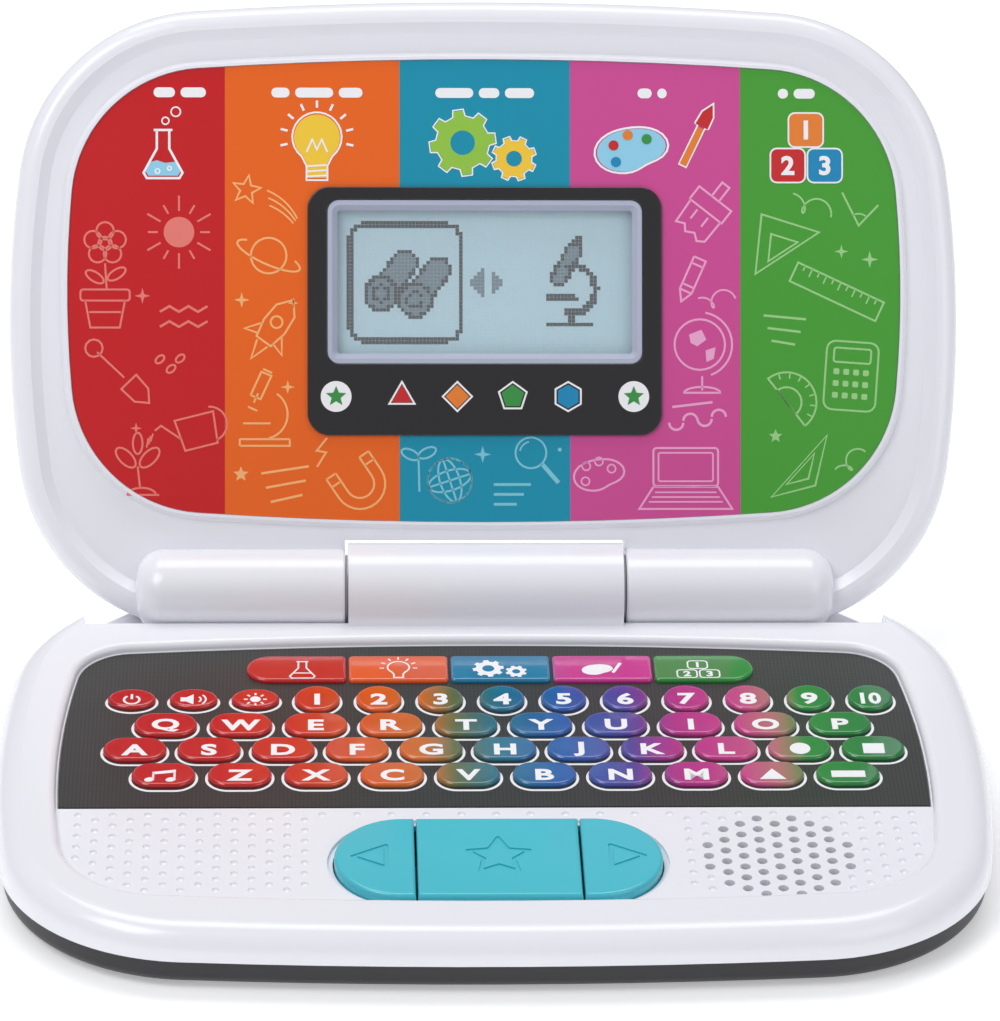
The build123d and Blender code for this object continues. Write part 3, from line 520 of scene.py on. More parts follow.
def draw_red(ink):
    sun(ink, -77.2, 90.5, 9.2, LINE)
    for k in range(5):
        a = radians(72 * k + 90)
        ink.line(circle(-95.8 + 3.2 * cos(a), 87.6 + 3.2 * sin(a), 2.2, 16), LINE, True)
    ink.line(circle(-95.8, 87.6, 1.7, 16), LINE, True)
    ink.line([(-95.8, 82.6), (-95.4, 76.2)], LINE)
    ink.line(turned(circle(0, 0, 2.6, 14, squash=0.45), -92.9, 79.9, 32), LINE, True)
    ink.line(turned(circle(0, 0, 2.6, 14, squash=0.45), -98.4, 79.2, 148), LINE, True)
    ink.line(rounded_box(-95.8, 74.6, 12.4, 2.8, 0.7), LINE, True)
    ink.line([(-100.8, 73.2), (-99.5, 66.4), (-92.1, 66.4), (-90.8, 73.2)], LINE)
    ink.line([(-99.8, 70.3), (-91.8, 70.3)], LINE)
    sparkle(ink, -86.4, 74.4, 2.0)
    sparkle(ink, -88.0, 41.0, 1.5)
    ink.line([(-97.8, 60.2), (-91.0, 53.8)], LINE)
    ink.line(turned(circle(0, 0, 2.2, 12), -98.6, 61.2, 0), LINE, True)
    blade = [(-2.6, 1.8), (2.6, 1.8), (2.4, -2.8), (0, -5.6), (-2.4, -2.8)]
    ink.line(turned(blade, -88.6, 51.4, 44), LINE, True)
    for x, y in ((-82.0, 58.4), (-79.2, 56.0), (-76.9, 58.6)):
        ink.line(turned(circle(0, 0, 1.3, 12, squash=0.62), x, y, 40), LINE, True)
    can = [(-5, 3.6), (5, 3.6), (4.2, -4.4), (-4.2, -4.4)]
    ink.line(turned(can, -72.6, 40.6, 14), LINE, True)
    ink.line(turned(circle(3.6, 0, 4.4, 14, start=radians(-80), sweep=radians(160)), -73.0, 41.2, 14), LINE)
    ink.line(turned([(-4.6, -1.2), (-8.6, 3.2), (-10.4, 2.4)], -72.6, 40.6, 14), LINE)
    for k in range(3):
        drop = [(-11.2 - k * 0.7, 1.2 - k * 0.4), (-12.2 - k * 0.7, -0.6 - k * 0.6)]
        ink.line(turned(drop, -72.6, 41.2, 14), 0.4)
    ink.line([(-87.6, 31.4), (-87.0, 26.0)], LINE)
    for side in (-1, 1):
        tilt = 45 * side + (180 if side < 0 else 0)
        leaf = circle(0, 0, 3.2, 16, squash=0.5)
        ink.line(turned(leaf, -87.6 + side * 3.0, 33.6, tilt), LINE, True)
    ink.line(turned(circle(0, 0, 2.7, 16, squash=0.45), -87.6, 37.2, 90), LINE, True)
    ink.line(circle(-86.6, 24.2, 3.6, 12, start=0, sweep=pi, squash=0.5), LINE)
    ink.line([(-90.4, 24.2), (-82.2, 24.2)], LINE)
    ink.line([(-82, 70.4), (-79.6, 71.8), (-77.2, 70.4), (-74.8, 71.8), (-72.4, 70.4), (-70.0, 71.8)], 0.6)
    ink.line([(-82, 66.6), (-79.6, 68.0), (-77.2, 66.6), (-74.8, 68.0), (-72.4, 66.6), (-70.0, 68.0)], 0.6)


def draw_orange(ink):
    ink.line(star_points(-60.2, 101.2, 3.7, 1.6, tilt=80), LINE, True)
    for k in range(3):
        sweep = radians(-42 + k * 6)
        ink.line(circle(-60.4 + k * 0.3, 87.6 - k * 1.9, 14.5, 9, start=radians(68), sweep=sweep), 0.42)
    ink.line(circle(-54.6, 84.6, 4.5, 24), LINE, True)
    orbit = circle(0, 0, 8.6, 26, start=radians(140), sweep=radians(260), squash=0.26)
    ink.line(turned(orbit, -54.6, 84.6, -24), LINE)
    sparkle(ink, -61.4, 73.4, 2.0)
    sparkle(ink, -48.4, 72.6, 1.4)
    sparkle(ink, -49.8, 51.4, 1.8)
    rocket = [(0, 8.6), (2.8, 5.2), (3.2, 0.4), (2.2, -4.2), (-2.2, -4.2), (-3.2, 0.4), (-2.8, 5.2)]
    ink.line(turned(rocket, -53.4, 66.4, -36), LINE, True)
    ink.line(circle(-52.6, 67.8, 1.5, 14), LINE, True)
    ink.line(turned([(3.0, -0.6), (5.8, -4.4), (2.4, -3.4)], -53.4, 66.4, -36), LINE)
    ink.line(turned([(-3.0, -0.6), (-5.8, -4.4), (-2.4, -3.4)], -53.4, 66.4, -36), LINE)
    ink.line(turned([(-1.6, -4.8), (0, -9.6), (1.6, -4.8)], -53.4, 66.4, -36), LINE)
    microscope(ink, -55.6, 45.6, 1.05, LINE)
    magnet = [(-3.6, 5.6)] + circle(0, 0, 3.6, 12, start=pi, sweep=pi) + [(3.6, 5.6)]
    outer = [(-6.4, 5.6)] + circle(0, 0, 6.4, 14, start=pi, sweep=pi) + [(6.4, 5.6)]
    tips = [[(side * 6.4, y), (side * 3.6, y)] for y in (5.6, 3.2) for side in (-1, 1)]
    for path in [magnet, outer] + tips:
        ink.line(turned(path, -31.6, 27.0, 34), LINE)
    ink.fill(star_points(-61.6, 29.4, 2.0, 0.9))
    for k in range(3):
        ink.line([(-56.5 + k * 1.2, 29.6 - k * 3.6), (-44.5 - k * 0.8, 31.4 - k * 3.6)], 0.6)
    ink.line(turned([(0, 4), (-2, 0.4), (0.4, 0.4), (-1.2, -3.6)], -40.6, 34.6, -10), LINE)


def draw_teal(ink):
    ink.line([(-16.6, 25.0), (-16.8, 33.4)], LINE)
    ink.line(turned(circle(0, 0, 2.4, 14, squash=0.5), -18.9, 34.4, 155), LINE, True)
    ink.line(turned(circle(0, 0, 2.4, 14, squash=0.5), -14.6, 34.8, 25), LINE, True)
    for squash in (1.0, 0.45):
        ink.line(turned(circle(0, 0, 5.6, 26, squash=squash), -8.9, 27.8, 18), LINE, True)
        ink.line(turned(circle(0, 0, 5.6, 26, squash=squash), -8.9, 27.8, 108), LINE, True)
    for tilt in (18, 108):
        ink.line(turned([(-5.6, 0), (5.6, 0)], -8.9, 27.8, tilt), LINE)
    sparkle(ink, -0.6, 34.4, 2.2)
    ink.line(circle(11.6, 34.8, 3.9, 24), LINE, True)
    ink.line(circle(11.6, 34.8, 2.8, 10, start=radians(100), sweep=radians(70)), 0.42)
    ink.line([(14.4, 32.0), (18.6, 27.2)], 1.1)
    ink.fill(circle(18.9, 35.6, 0.5, 12))
    for k in range(3):
        ink.line([(2.2, 26.8 - k * 2.5), (11.6 - k * 1.8, 26.8 - k * 2.5)], 0.7)


def draw_pink(ink):
    handle = [(-1.2, 5.8), (-1.2, 10.4), (1.2, 10.4), (1.2, 5.8)]
    for path in ([(-5.4, 1.6), (-5.4, 5.8), (5.4, 5.8), (5.4, 1.6), (-5.4, 1.6)], handle,
                 [(-5.0, 1.6), (-4.6, -5.4), (-2.4, -4.4), (-1.0, -6.0)]
                 + [(1.2, -4.8), (3.0, -6.2), (4.8, -5.0), (5.0, 1.6)],
                 [(-2.0, 0.6), (-2.0, -2.4)], [(1.6, 0.6), (1.6, -2.4)]):
        ink.line(turned(path, 55.0, 94.8, -38, 0.95), LINE)
    for path in ([(-1.7, 5.4), (-1.7, -4.0), (1.7, -4.0), (1.7, 5.4), (-1.7, 5.4)],
                 [(-1.7, -4.0), (0, -7.0), (1.7, -4.0)],
                 [(-1.7, 3.6), (1.7, 3.6)], [(-1.7, -2.4), (1.7, -2.4)]):
        ink.line(turned(path, 52.4, 79.2, -24, 0.95), LINE)
    ink.line(curl(58.4, 73.6, 4.0, 20), 0.42)
    ink.line(circle(54.4, 62.2, 6.4, 28), LINE, True)
    ink.line(circle(54.4, 62.2, 8.2, 16, start=radians(-70), sweep=radians(150)), LINE)
    ink.line([(55.0, 54.2), (55.0, 50.6)], LINE)
    ink.line(circle(55.0, 50.0, 4.6, 14, start=0, sweep=pi, squash=0.32), LINE)
    ink.line([(50.2, 50.0), (59.8, 50.0)], LINE)
    for blob in ([(-2.6, 2.2), (0.4, 3.4), (1.6, 1.0), (-0.6, -0.6), (-2.2, 0.2)],
                 [(1.4, -1.6), (3.8, -0.8), (3.4, -3.6), (1.6, -4.4)]):
        ink.fill(turned(blob, 54.4, 62.4, 0, 1.05))
    ink.line(palette_points(28.9, 29.2, 0.82), LINE, True)
    for x, y in ((25.6, 31.4), (28.8, 32.6), (32.0, 30.8), (25.4, 27.6)):
        ink.line(circle(x, y, 1.05, 12), 0.4, True)
    ink.line(rounded_box(50.8, 31.2, 16.4, 9.6, 0.8), LINE, True)
    ink.line(rounded_box(50.8, 31.2, 13.8, 7.2, 0.5), 0.42, True)
    ink.line([(42.6, 26.2), (39.0, 20.6), (62.6, 20.6), (59.0, 26.2), (42.6, 26.2)], LINE)
    for k in range(3):
        ink.line([(43.0 - k * 0.8, 24.8 - k * 1.2), (58.6 + k * 0.8, 24.8 - k * 1.2)], 0.4)
    for k in range(4):
        ink.line(circle(48.4 + k * 3.6, 42.4 + k * 0.5, 1.8, 10, start=pi, sweep=-pi if k % 2 else pi), 0.6)
    ink.line([(47.4, 46.4), (57.6, 47.6)], 0.6)


def draw_green(ink):
    ink.line(curl(82.4, 97.4, 4.8, -12), 0.45)
    ink.line([(90.6, 100.8), (94.8, 92.4), (99.8, 97.6)], LINE)
    ink.line(circle(94.8, 92.4, 3.0, 8, start=radians(46), sweep=radians(72)), 0.4)
    for scale in (1.0, 0.46):
        corner = [(-6.4, 8.6), (-6.4, -6.6), (8.6, 5.6)]
        ink.line(turned(corner, 75.6 - (1 - scale), 86.0, -6, scale), LINE, True)
    ruler = [(-12, 2.6), (12, 2.6), (12, -2.6), (-12, -2.6)]
    ink.line(turned(ruler, 89.2, 75.6, -25), LINE, True)
    for k in range(11):
        x = -10 + 2 * k
        ink.line(turned([(x, 2.6), (x, 0.4 if k % 2 else 1.2)], 89.2, 75.6, -25), 0.38)
    sparkle(ink, 90.4, 85.8, 1.8)
    sparkle(ink, 97.6, 83.8, 2.2)
    ink.line(turned(rounded_box(0, 0, 13.2, 17.4, 2.2), 92.8, 54.2, -4), LINE, True)
    ink.line(turned(rounded_box(0, 5.2, 9.4, 3.6, 0.6), 92.8, 54.2, -4), LINE, True)
    for row in range(3):
        for column in range(4):
            button = rounded_box(-3.8 + 2.5 * column, 1.0 - 3.0 * row, 1.5, 1.5, 0.3, 3)
            ink.fill(turned(button, 92.8, 54.2, -4))
    for radius in (7.6, 3.8):
        ink.line(turned(circle(0, 0, radius, 18, start=0, sweep=pi) + [(radius, 0)], 76.4, 47.6, -52), LINE)
    for k in range(7):
        a = radians(22.5 * (k + 1))
        ink.line(turned([(7.4 * cos(a), 7.4 * sin(a)), (6.0 * cos(a), 6.0 * sin(a))], 76.4, 47.6, -52), 0.38)
    ink.fill(star_points(73.6, 39.0, 1.8, 0.8))
    for scale in (1.0, 0.5):
        centre = (79.0 + (1 - scale) * 1.2, 30.8 - (1 - scale) * 0.8)
        ink.line(turned([(-5.4, -8.0), (6.4, 9.4), (5.2, -3.6)], *centre, -8, scale), LINE, True)
    ink.line(curl(92.4, 32.4, 3.8, 50), 0.45)
    for k in range(3):
        ink.line([(70.6 + k * 1.0, 69.6 - k * 3.2), (81.4 - k * 1.4, 68.6 - k * 3.2)], 0.6)


ART = (
    ("red", draw_red), ("orange", draw_orange), ("teal", draw_teal), ("pink", draw_pink),
    ("green", draw_green),
)
for name, draw in ART:
    art = Ink(LABEL, 0.0, 0.03)
    draw(art)
    tint = plastic(f"print_{name}_tint", TINTS[name], 0.35, 0.05, 0.02, spread_by=0.03)
    art.make(f"panel_art_{name}", tint, "lid", "panel_print")

# ---------------------------------------------------------------- the five large emblems and their headings
SKY, YELLOW, LIME = srgb(150, 214, 240), srgb(252, 206, 60), srgb(150, 202, 70)


def print_colour(name, colour):
    return plastic(f"print_{name}", colour, 0.35, 0.05, 0.02, spread_by=0.05)


white_art = Ink(LABEL, 0.04, 0.03)
sky_art = Ink(LABEL, 0.0, 0.03)
yellow_art = Ink(LABEL, 0.0, 0.03)
lime_art = Ink(LABEL, 0.0, 0.03)
colour_dots = {n: Ink(LABEL, 0.09, 0.03) for n in ("red", "orange", "teal", "green")}

for path, closed in flask_lines(-81.2, 110.4, 0.98):
    white_art.line(path, 0.6, closed)
sky_art.fill(flask_liquid(-81.2, 110.4, 0.94))
for x, y, r in ((-80.6, 118.6, 0.9), (-78.0, 120.9, 1.2), (-82.6, 105.9, 0.6), (-79.6, 106.6, 0.5)):
    white_art.line(circle(x, y, r, 14), 0.35, True)

yellow_art.fill(bulb_points(-42.4, 112.8, 1.12))
white_art.line(bulb_points(-42.4, 112.8, 1.2), 0.45, True)
white_art.line([(-45.0, 110.8), (-43.6, 114.0), (-42.4, 111.4), (-41.2, 114.0), (-39.8, 110.8)], 0.45)
for k in range(3):
    white_art.line([(-44.8, 107.2 - k * 1.3), (-40.0, 107.5 - k * 1.3)], 0.45)
for k in range(9):
    a = radians(-12 + 25.5 * k)
    white_art.line(ray(-42.4, 114.4, a, 7.6, 9.4), 0.6)

lime_art.ring(gear_points(-5.6, 113.2, 8.2, tilt=8), circle(-5.6, 113.2, 3.1, 32, start=radians(8 - 13.5)))
yellow_art.ring(gear_points(7.4, 109.2, 5.4, tilt=20), circle(7.4, 109.2, 2.0, 32, start=radians(20 - 13.5)))
white_art.line(gear_points(-5.6, 113.2, 8.5, tilt=8), 0.32, True)
white_art.line(gear_points(7.4, 109.2, 5.7, tilt=20), 0.32, True)

sky_art.fill(palette_points(37.2, 111.4, 1.12))
white_art.line(palette_points(37.2, 111.4, 1.2), 0.5, True)
PAINT = (("red", 32.6, 112.6), ("orange", 36.2, 115.2), ("green", 41.0, 114.2), ("teal", 33.2, 108.4))
for name, x, y in PAINT:
    colour_dots[name].fill(circle(x, y, 1.3, 16))
brush = [(-0.8, 9.4), (0.8, 9.4), (0.9, -1.0), (-0.9, -1.0)]
colour_dots["orange"].fill(turned(brush, 50.6, 108.6, -26))
tip = [(-1.7, 9.8), (-1.4, 13.2), (0.2, 15.8), (1.6, 13.0), (1.7, 9.8)]
colour_dots["red"].fill(turned(tip, 50.6, 108.6, -26))
brush_edge = [
    (-1.0, -1.2), (-1.0, 9.6), (-1.9, 10.0), (-1.6, 13.4), (0.2, 16.4),
    (1.8, 13.2), (1.9, 10.0), (1.0, 9.6), (1.0, -1.2),
]
white_art.line(turned(brush_edge, 50.6, 108.6, -26), 0.4, True)

DIGIT_BLOCKS = (("orange", 81.4, 116.6, "1"), ("red", 76.8, 107.6, "2"), ("teal", 86.2, 107.6, "3"))
for name, x, y, digit in DIGIT_BLOCKS:
    colour_dots[name].fill(rounded_box(x, y, 8.4, 8.2, 1.4))
    white_art.line(rounded_box(x, y, 8.8, 8.6, 1.6), 0.45, True)

# a short row of rounded bars heads each column
HEADINGS = (
    (-77.0, (5.4, 6.4)), (-42.4, (4.6, 9.6, 6.0)), (0.0, (9.6, 5.2, 7.4)), (42.4, (3.6, 2.4)),
    (79.0, (2.6, 5.4)),
)
for centre, lengths in HEADINGS:
    x = centre - (sum(lengths) + 1.4 * (len(lengths) - 1)) / 2
    for length in lengths:
        white_art.fill(rounded_box(x + length / 2, 125.8, length, 2.5, 1.2))
        x += length + 1.4

white_art.make("panel_art_white", ink_white, "lid", "panel_print")
sky_art.make("panel_art_sky", print_colour("sky", SKY), "lid", "panel_print")
yellow_art.make("panel_art_yellow", print_colour("yellow", YELLOW), "lid", "panel_print")
lime_art.make("panel_art_lime", print_colour("lime", LIME), "lid", "panel_print")
DOT_COLOURS = {
    "red": srgb(206, 40, 44), "orange": srgb(238, 132, 50), "teal": srgb(24, 140, 190),
    "green": srgb(60, 150, 70),
}
dot_looks = {n: print_colour(f"dot_{n}", c) for n, c in DOT_COLOURS.items()}
for name, ink in colour_dots.items():
    ink.make(f"panel_dots_{name}", dot_looks[name], "lid", "panel_print")

# ---------------------------------------------------------------- plain shapes under the display
STRIP_V = 49.0
strip_white = Ink(BEZEL, 0.0, 0.03)
STRIP = (("red", 3), ("orange", 4), ("green", 5), ("teal", 6))
strip_white.fill(circle(-37.6, STRIP_V, 3.9, 32))
strip_white.fill(circle(37.6, STRIP_V, 3.9, 32))
for index, (name, sides) in enumerate(STRIP):
    shape = Ink(BEZEL, 0.0, 0.05)
    x = -21.0 + 14.0 * index
    shape.fill(circle(x, STRIP_V, 3.0, sides, start=pi / 2))
    strip_white.line(circle(x, STRIP_V, 3.7, sides, start=pi / 2), 0.45, True)
    shape.make(f"display_shape_{name}", dot_looks[name], "lid", "display_black")
strip_white.make("display_shapes_white", ink_white, "lid", "display_black")
strip_dots = Ink(BEZEL, 0.04, 0.03)
strip_dots.fill(star_points(-37.6, STRIP_V, 2.7, 1.2))
strip_dots.fill(star_points(37.6, STRIP_V, 2.7, 1.2))
strip_dots.make("display_shapes_star", dot_looks["green"], "lid", "display_black")


# ---------------------------------------------------------------- the display's picture, in squares
def near_line(x, y, ax, ay, bx, by):
    """Distance from a point to a stretch of line."""
    length = hypot(bx - ax, by - ay) ** 2
    t = max(0.0, min(1.0, ((x - ax) * (bx - ax) + (y - ay) * (by - ay)) / length))
    return hypot(x - ax - t * (bx - ax), y - ay - t * (by - ay))


def frame_shade(x, y):
    """A rounded square frame round the left picture."""
    dx, dy = abs(x + 20.0) - 10.5, abs(y) - 11.2
    distance = hypot(max(dx, 0), max(dy, 0)) + min(max(dx, dy), 0) - 3.4
    return 2 if abs(distance) < 0.62 else 0


def binocular_shade(x, y):
    """A pair of field glasses seen from the front and above."""
    for lens_x, lens_y, eye_x, eye_y in ((-17.6, -4.4, -12.4, 2.6), (-26.2, -2.8, -20.8, 4.2)):
        lens = hypot(x - lens_x, y - lens_y)
        if lens < 4.6:
            return 2 if lens > 3.6 or 1.6 < lens < 2.4 else 1
        barrel = near_line(x, y, lens_x, lens_y, eye_x, eye_y) - 3.5
        eye = hypot(x - eye_x - 0.6, y - eye_y - 0.8) - 3.4
        if barrel < 0 or eye < 0:
            return 2 if barrel > -0.9 and eye > -0.9 else 1
    return 0


def microscope_shade(x, y):
    """A microscope on its stand."""
    x -= 21.5
    if abs(y + 10.6) < 0.9 and abs(x) < 6.2:
        return 2
    arm = hypot(x - 0.4, y + 1.6)
    if abs(arm - 6.2) < 0.9 and x > -1.5 and y < 4.6 and y > -9.0:
        return 2
    if near_line(x, y, 0.4, -7.8, 0.4, -10.6) < 0.9:
        return 2
    tube = near_line(x, y, -2.6, 1.2, 1.4, 8.4)
    if tube < 1.3:
        return 1
    if tube < 2.3:
        return 2
    if near_line(x, y, 1.8, 9.2, 2.4, 10.8) < 0.9 or near_line(x, y, -5.4, -3.8, 1.6, -3.8) < 0.6:
        return 2
    return 0


def arrows_shade(x, y):
    """Two small arrowheads, pointing left and right."""
    for side in (-1, 1):
        reach = (x - 0.6) * side
        if 1.0 < reach < 4.6 and abs(y) < 3.4 * (4.6 - reach) / 3.6:
            return 1
    return 0


SCREEN_V = 78.0
dark_pixels, grey_pixels = Ink(LCD, 0.02, 0.03), Ink(LCD, 0.02, 0.03)
for column in range(-40, 41):
    for row in range(-19, 20):
        x, y = (column + 0.5) * PIXEL, (row + 0.5) * PIXEL
        if abs(x) > 37 or abs(y) > 17.6:
            continue
        shade = frame_shade(x, y) or binocular_shade(x, y) or arrows_shade(x, y) or microscope_shade(x, y)
        if shade:
            pixel = rounded_box(x, SCREEN_V + y, PIXEL - 0.05, PIXEL - 0.05, 0.05, 2)
            (dark_pixels if shade == 2 else grey_pixels).fill(pixel)
dark_pixels.make("lcd_pixels_dark", print_colour("pixel_dark", srgb(38, 44, 50)), "lid", "lcd_panel")
grey_pixels.make("lcd_pixels_grey", print_colour("pixel_grey", srgb(112, 132, 142)), "lid", "lcd_panel")

# ---------------------------------------------------------------- key rings and legends
OVAL, ROUND, LETTER = (11.8, 8.6), 11.2, (15.4, 10.0)
NUMBER_Y, NUMBER_PITCH, TOPIC_PITCH = 25.1, 15.15, 25.3
LETTER_ROWS = ((10, 18.3, 13.4), (11, 17.9, 2.4), (10, 18.3, -8.9))
RING_OUT, RING_IN = 0.62, -0.04


def slot_points(x, y, length, breadth):
    return rounded_box(x, y, length, breadth, breadth / 2 - 0.01, 12)


rings = Ink(DECK, 0.02, 0.10)
for index in range(13):
    x = KEYS_X + (index - 6) * NUMBER_PITCH
    if index < 3:
        a, b = OVAL[0] / 2, OVAL[1] / 2
        rings.ring(
            circle(x, NUMBER_Y, a + RING_OUT, 40, squash=(b + RING_OUT) / (a + RING_OUT)),
            circle(x, NUMBER_Y, a + RING_IN, 40, squash=(b + RING_IN) / (a + RING_IN)),
        )
    else:
        outer = circle(x, NUMBER_Y, ROUND / 2 + RING_OUT, 40)
        rings.ring(outer, circle(x, NUMBER_Y, ROUND / 2 + RING_IN, 40))
for count, pitch, y in LETTER_ROWS:
    for index in range(count):
        x = KEYS_X + (index - (count - 1) / 2) * pitch
        outer = slot_points(x, y, LETTER[0] + 2 * RING_OUT, LETTER[1] + 2 * RING_OUT)
        rings.ring(outer, slot_points(x, y, LETTER[0] + 2 * RING_IN, LETTER[1] + 2 * RING_IN))
rings.make("key_rings", ink_white, "base", "key_film")

legends = Ink(DECK, DOME_TOP, 0.04)


def write_text(text, surface, x, y, height_up, size, stretch, name):
    """A generic letter or number, printed flat."""
    curve = bpy.data.curves.new(name, "FONT")
    curve.body = text
    curve.align_x, curve.align_y = "CENTER", "CENTER"
    curve.size = size
    curve.offset = size * 0.035
    curve.extrude = 0.02
    curve.resolution_u = 4
    flat = bpy.data.objects.new(name, curve)
    bpy.context.scene.collection.objects.link(flat)
    bpy.context.view_layer.update()
    mesh = bpy.data.meshes.new_from_object(flat.evaluated_get(bpy.context.evaluated_depsgraph_get()))
    bpy.data.objects.remove(flat)
    xs = [v.co.x for v in mesh.vertices]
    ys = [v.co.y for v in mesh.vertices]
    mid_x, mid_y = (min(xs) + max(xs)) / 2, (min(ys) + max(ys)) / 2
    for v in mesh.vertices:
        v.co = surface.at(x + (v.co.x - mid_x) * stretch, y + v.co.y - mid_y, height_up + 0.02 + v.co.z)
    mesh.materials.clear()
    mesh.materials.append(ink_white)
    piece = bpy.data.objects.new(name, mesh)
    bpy.context.scene.collection.objects.link(piece)
    return piece


texts = []
for index in range(10):
    x = KEYS_X + (index - 3) * NUMBER_PITCH
    squeeze = 0.92 if index == 9 else 1.25
    name = f"key_digit_{index + 1}"
    texts.append(write_text(str(index + 1), DECK, x, NUMBER_Y, DOME_TOP, 6.6, squeeze, name))
LETTERS = ("QWERTYUIOP", "ASDFGHJKL", "-ZXCVBNM")
for (count, pitch, y), row in zip(LETTER_ROWS, LETTERS):
    for index, letter in enumerate(row):
        if letter == "-":
            continue
        x = KEYS_X + (index - (count - 1) / 2) * pitch
        texts.append(write_text(letter, DECK, x, y, DOME_TOP, 6.4, 1.3, f"key_letter_{letter}"))
bpy.ops.object.select_all(action="DESELECT")
for piece in texts:
    piece.select_set(True)
bpy.context.view_layer.objects.active = texts[0]
bpy.ops.object.join()
key_letters = texts[0]
key_letters.name = "key_letters"
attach(key_letters, "base")

block_digits = [
    write_text(digit, LABEL, x, y, 0.12, 6.4, 1.05, f"block_digit_{digit}")
    for name, x, y, digit in DIGIT_BLOCKS
]
for piece in block_digits:
    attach(piece, "lid")

# symbols on the keys that carry no letter
power_x, sound_x, light_x = (KEYS_X - n * NUMBER_PITCH for n in (6, 5, 4))
legends.line(circle(power_x, NUMBER_Y - 0.1, 1.9, 18, start=radians(125), sweep=radians(290)), 0.55)
legends.line([(power_x, NUMBER_Y + 0.2), (power_x, NUMBER_Y + 2.4)], 0.6)
horn = [(-3.2, -0.9), (-1.8, -0.9), (0, -2.3), (0, 2.3), (-1.8, 0.9), (-3.2, 0.9)]
legends.fill([(sound_x + x, NUMBER_Y + y) for x, y in horn])
for radius in (1.6, 2.8):
    legends.line(circle(sound_x + 0.2, NUMBER_Y, radius, 8, start=radians(-45), sweep=radians(90)), 0.45)
legends.fill(circle(light_x, NUMBER_Y, 1.3, 18))
for k in range(8):
    a = 2 * pi * k / 8
    legends.line(ray(light_x, NUMBER_Y, a, 1.9, 2.8), 0.5)
row_a, row_z = LETTER_ROWS[1], LETTER_ROWS[2]
legends.fill(circle(KEYS_X + 4 * row_a[1], row_a[2], 2.5, 24))
legends.fill(rounded_box(KEYS_X + 5 * row_a[1], row_a[2], 5.2, 4.4, 0.1, 2))
shape_x = KEYS_X + 3.5 * row_z[1]
legends.fill([(shape_x - 3.2, row_z[2] - 2.2), (shape_x + 3.2, row_z[2] - 2.2), (shape_x, row_z[2] + 2.4)])
legends.fill(rounded_box(KEYS_X + 4.5 * row_z[1], row_z[2], 8.2, 2.8, 0.1, 2))
note_x, note_y = KEYS_X - 4.5 * row_z[1], row_z[2]
beam = [(-2.6, 1.5), (3.0, 2.5), (3.0, 1.3), (-2.6, 0.4)]
legends.fill([(note_x + x, note_y + y) for x, y in beam])
for side in (-2.4, 2.7):
    legends.line([(note_x + side, note_y + 1.6), (note_x + side, note_y - 1.7)], 0.5)
    legends.fill(turned(circle(0, 0, 1.25, 14, squash=0.72), note_x + side - 0.9, note_y - 1.8, 18))

topic_x = [KEYS_X + (k - 2) * TOPIC_PITCH for k in range(5)]
for path, closed in flask_lines(topic_x[0] + 1.5, TOPIC_ROW_Y, 0.62):
    legends.line(path, 0.4, closed)
legends.line([(topic_x[0] - 0.7, TOPIC_ROW_Y - 1.6), (topic_x[0] + 3.7, TOPIC_ROW_Y - 1.6)], 0.4)
legends.line(bulb_points(topic_x[1], TOPIC_ROW_Y + 0.2, 0.52), 0.4, True)
for k in range(7):
    a = radians(-5 + 31.7 * k)
    legends.line(ray(topic_x[1], TOPIC_ROW_Y + 1.0, a, 3.6, 4.7), 0.4)
for dx, dy, radius, bore, tilt in ((-3.0, 0.4, 3.9, 1.5, 8), (3.9, -1.0, 2.7, 1.0, 20)):
    x, y = topic_x[2] + dx, TOPIC_ROW_Y + dy
    hole = circle(x, y, bore, 32, start=radians(tilt - 13.5))
    legends.ring(gear_points(x, y, radius, tilt=tilt), hole)
legends.fill(palette_points(topic_x[3] - 1.2, TOPIC_ROW_Y - 0.2, 0.5))
legends.line([(topic_x[3] + 2.6, TOPIC_ROW_Y - 1.6), (topic_x[3] + 4.6, TOPIC_ROW_Y + 2.8)], 0.8)
TOPIC_BLOCKS = ((-1.5, 2.0, "1"), (-4.3, -2.2, "2"), (1.3, -2.2, "3"))
for dx, dy, digit in TOPIC_BLOCKS:
    legends.line(rounded_box(topic_x[4] + dx, TOPIC_ROW_Y + dy, 4.9, 3.6, 0.9), 0.38, True)
legends.make("key_symbols", ink_white, "base", "key_film")
small_digits = [
    write_text(digit, DECK, topic_x[4] + dx, TOPIC_ROW_Y + dy, DOME_TOP, 3.2, 1.2, f"topic_digit_{digit}")
    for dx, dy, digit in TOPIC_BLOCKS
]
for piece in small_digits:
    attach(piece, "base")

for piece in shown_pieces():
    if piece.type == "MESH" and "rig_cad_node" in piece:
        for face in piece.data.polygons:
            face.use_smooth = True
        piece.data.set_sharp_from_angle(angle=radians(32))

# ---------------------------------------------------------------- floor, light and camera
floor_mesh = bpy.data.meshes.new("floor")
FLOOR = 6.0
floor_corners = [(-FLOOR, -FLOOR, 0), (FLOOR, -FLOOR, 0), (FLOOR, FLOOR, 0), (-FLOOR, FLOOR, 0)]
floor_mesh.from_pydata(floor_corners, [], [(0, 1, 2, 3)])
floor = bpy.data.objects.new("floor", floor_mesh)
floor_white = plastic("floor_white", (0.93, 0.93, 0.94), 0.6, 0.03, 0.0, spread_by=0.004)
floor_shader = floor_white.node_tree.nodes["Principled BSDF"]
floor_shader.inputs["Emission Color"].default_value = (1, 1, 1, 1)
floor_shader.inputs["Emission Strength"].default_value = 0.34
floor_mesh.materials.append(floor_white)
bpy.context.scene.collection.objects.link(floor)

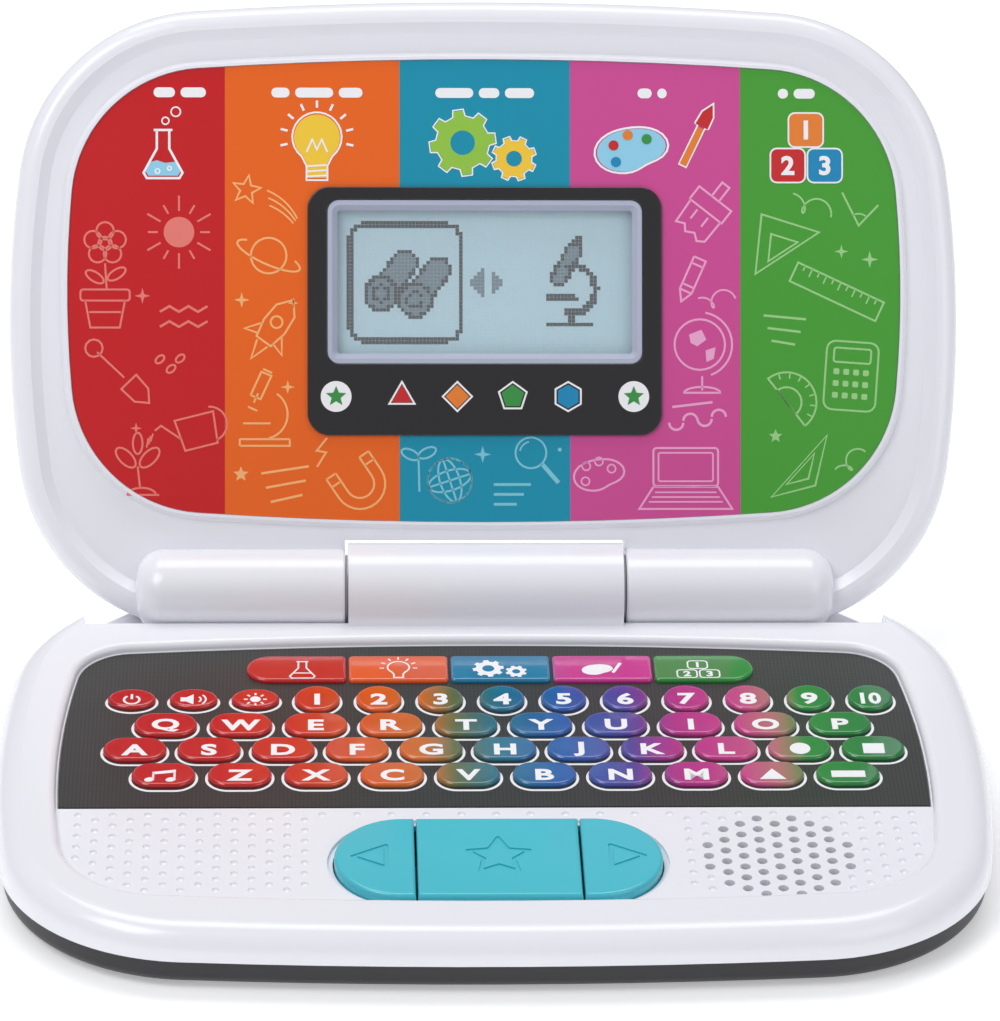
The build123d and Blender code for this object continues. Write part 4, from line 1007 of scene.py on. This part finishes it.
world = bpy.data.worlds.new("studio")
bpy.context.scene.world = world
world.use_nodes = True
world.node_tree.nodes["Background"].inputs["Color"].default_value = (0.93, 0.95, 1.0, 1)
world.node_tree.nodes["Background"].inputs["Strength"].default_value = 0.36


def area_light(name, place, size, power):
    """A soft panel light that faces the laptop."""
    light = bpy.data.lights.new(name, "AREA")
    light.shape = "RECTANGLE"
    light.size, light.size_y = size
    light.energy = power
    lamp = bpy.data.objects.new(name, light)
    lamp.location = place
    lamp.rotation_euler = (Vector((0, 0, 0.06)) - Vector(place)).to_track_quat("-Z", "Y").to_euler()
    bpy.context.scene.collection.objects.link(lamp)


area_light("key_panel", (-0.75, -0.55, 1.25), (0.7, 0.7), 7.0)
area_light("fill_panel", (0.9, -0.9, 0.8), (0.8, 0.8), 2.6)
area_light("top_panel", (0.0, 0.45, 1.3), (1.2, 0.6), 7.5)

# the view's angles, its distance, and how far its aim is raised and moved aside
VIEW_RISE, VIEW_TURN, VIEW_ROLL, VIEW_DISTANCE = radians(28.0), radians(-2.2), radians(1.03), 1.28125
AIM_RIGHT, AIM_UP = 0.0023, 0.0169
SENSOR = 36.0
FOCAL_PER_HEIGHT = 5.093
back = Vector((sin(VIEW_TURN) * cos(VIEW_RISE), -cos(VIEW_TURN) * cos(VIEW_RISE), sin(VIEW_RISE)))
look_at = Vector((0, BASE_Y + 0.04, 0.045))
camera_place = look_at + back * VIEW_DISTANCE
camera_data = bpy.data.cameras.new("camera")
camera_data.sensor_width = SENSOR
camera_data.lens = SENSOR * FOCAL_PER_HEIGHT
camera_data.clip_end = 30.0
camera = bpy.data.objects.new("camera", camera_data)
right = (-back).cross(Vector((0, 0, 1))).normalized()
up = right.cross(-back)
aim = look_at + right * AIM_RIGHT + up * AIM_UP
turn = (aim - camera_place).to_track_quat("-Z", "Y").to_matrix().to_4x4()
camera.matrix_world = Matrix.Translation(camera_place) @ turn @ Matrix.Rotation(VIEW_ROLL, 4, "Z")
bpy.context.scene.collection.objects.link(camera)
bpy.context.scene.camera = camera
bpy.context.scene.view_settings.view_transform = "Standard"
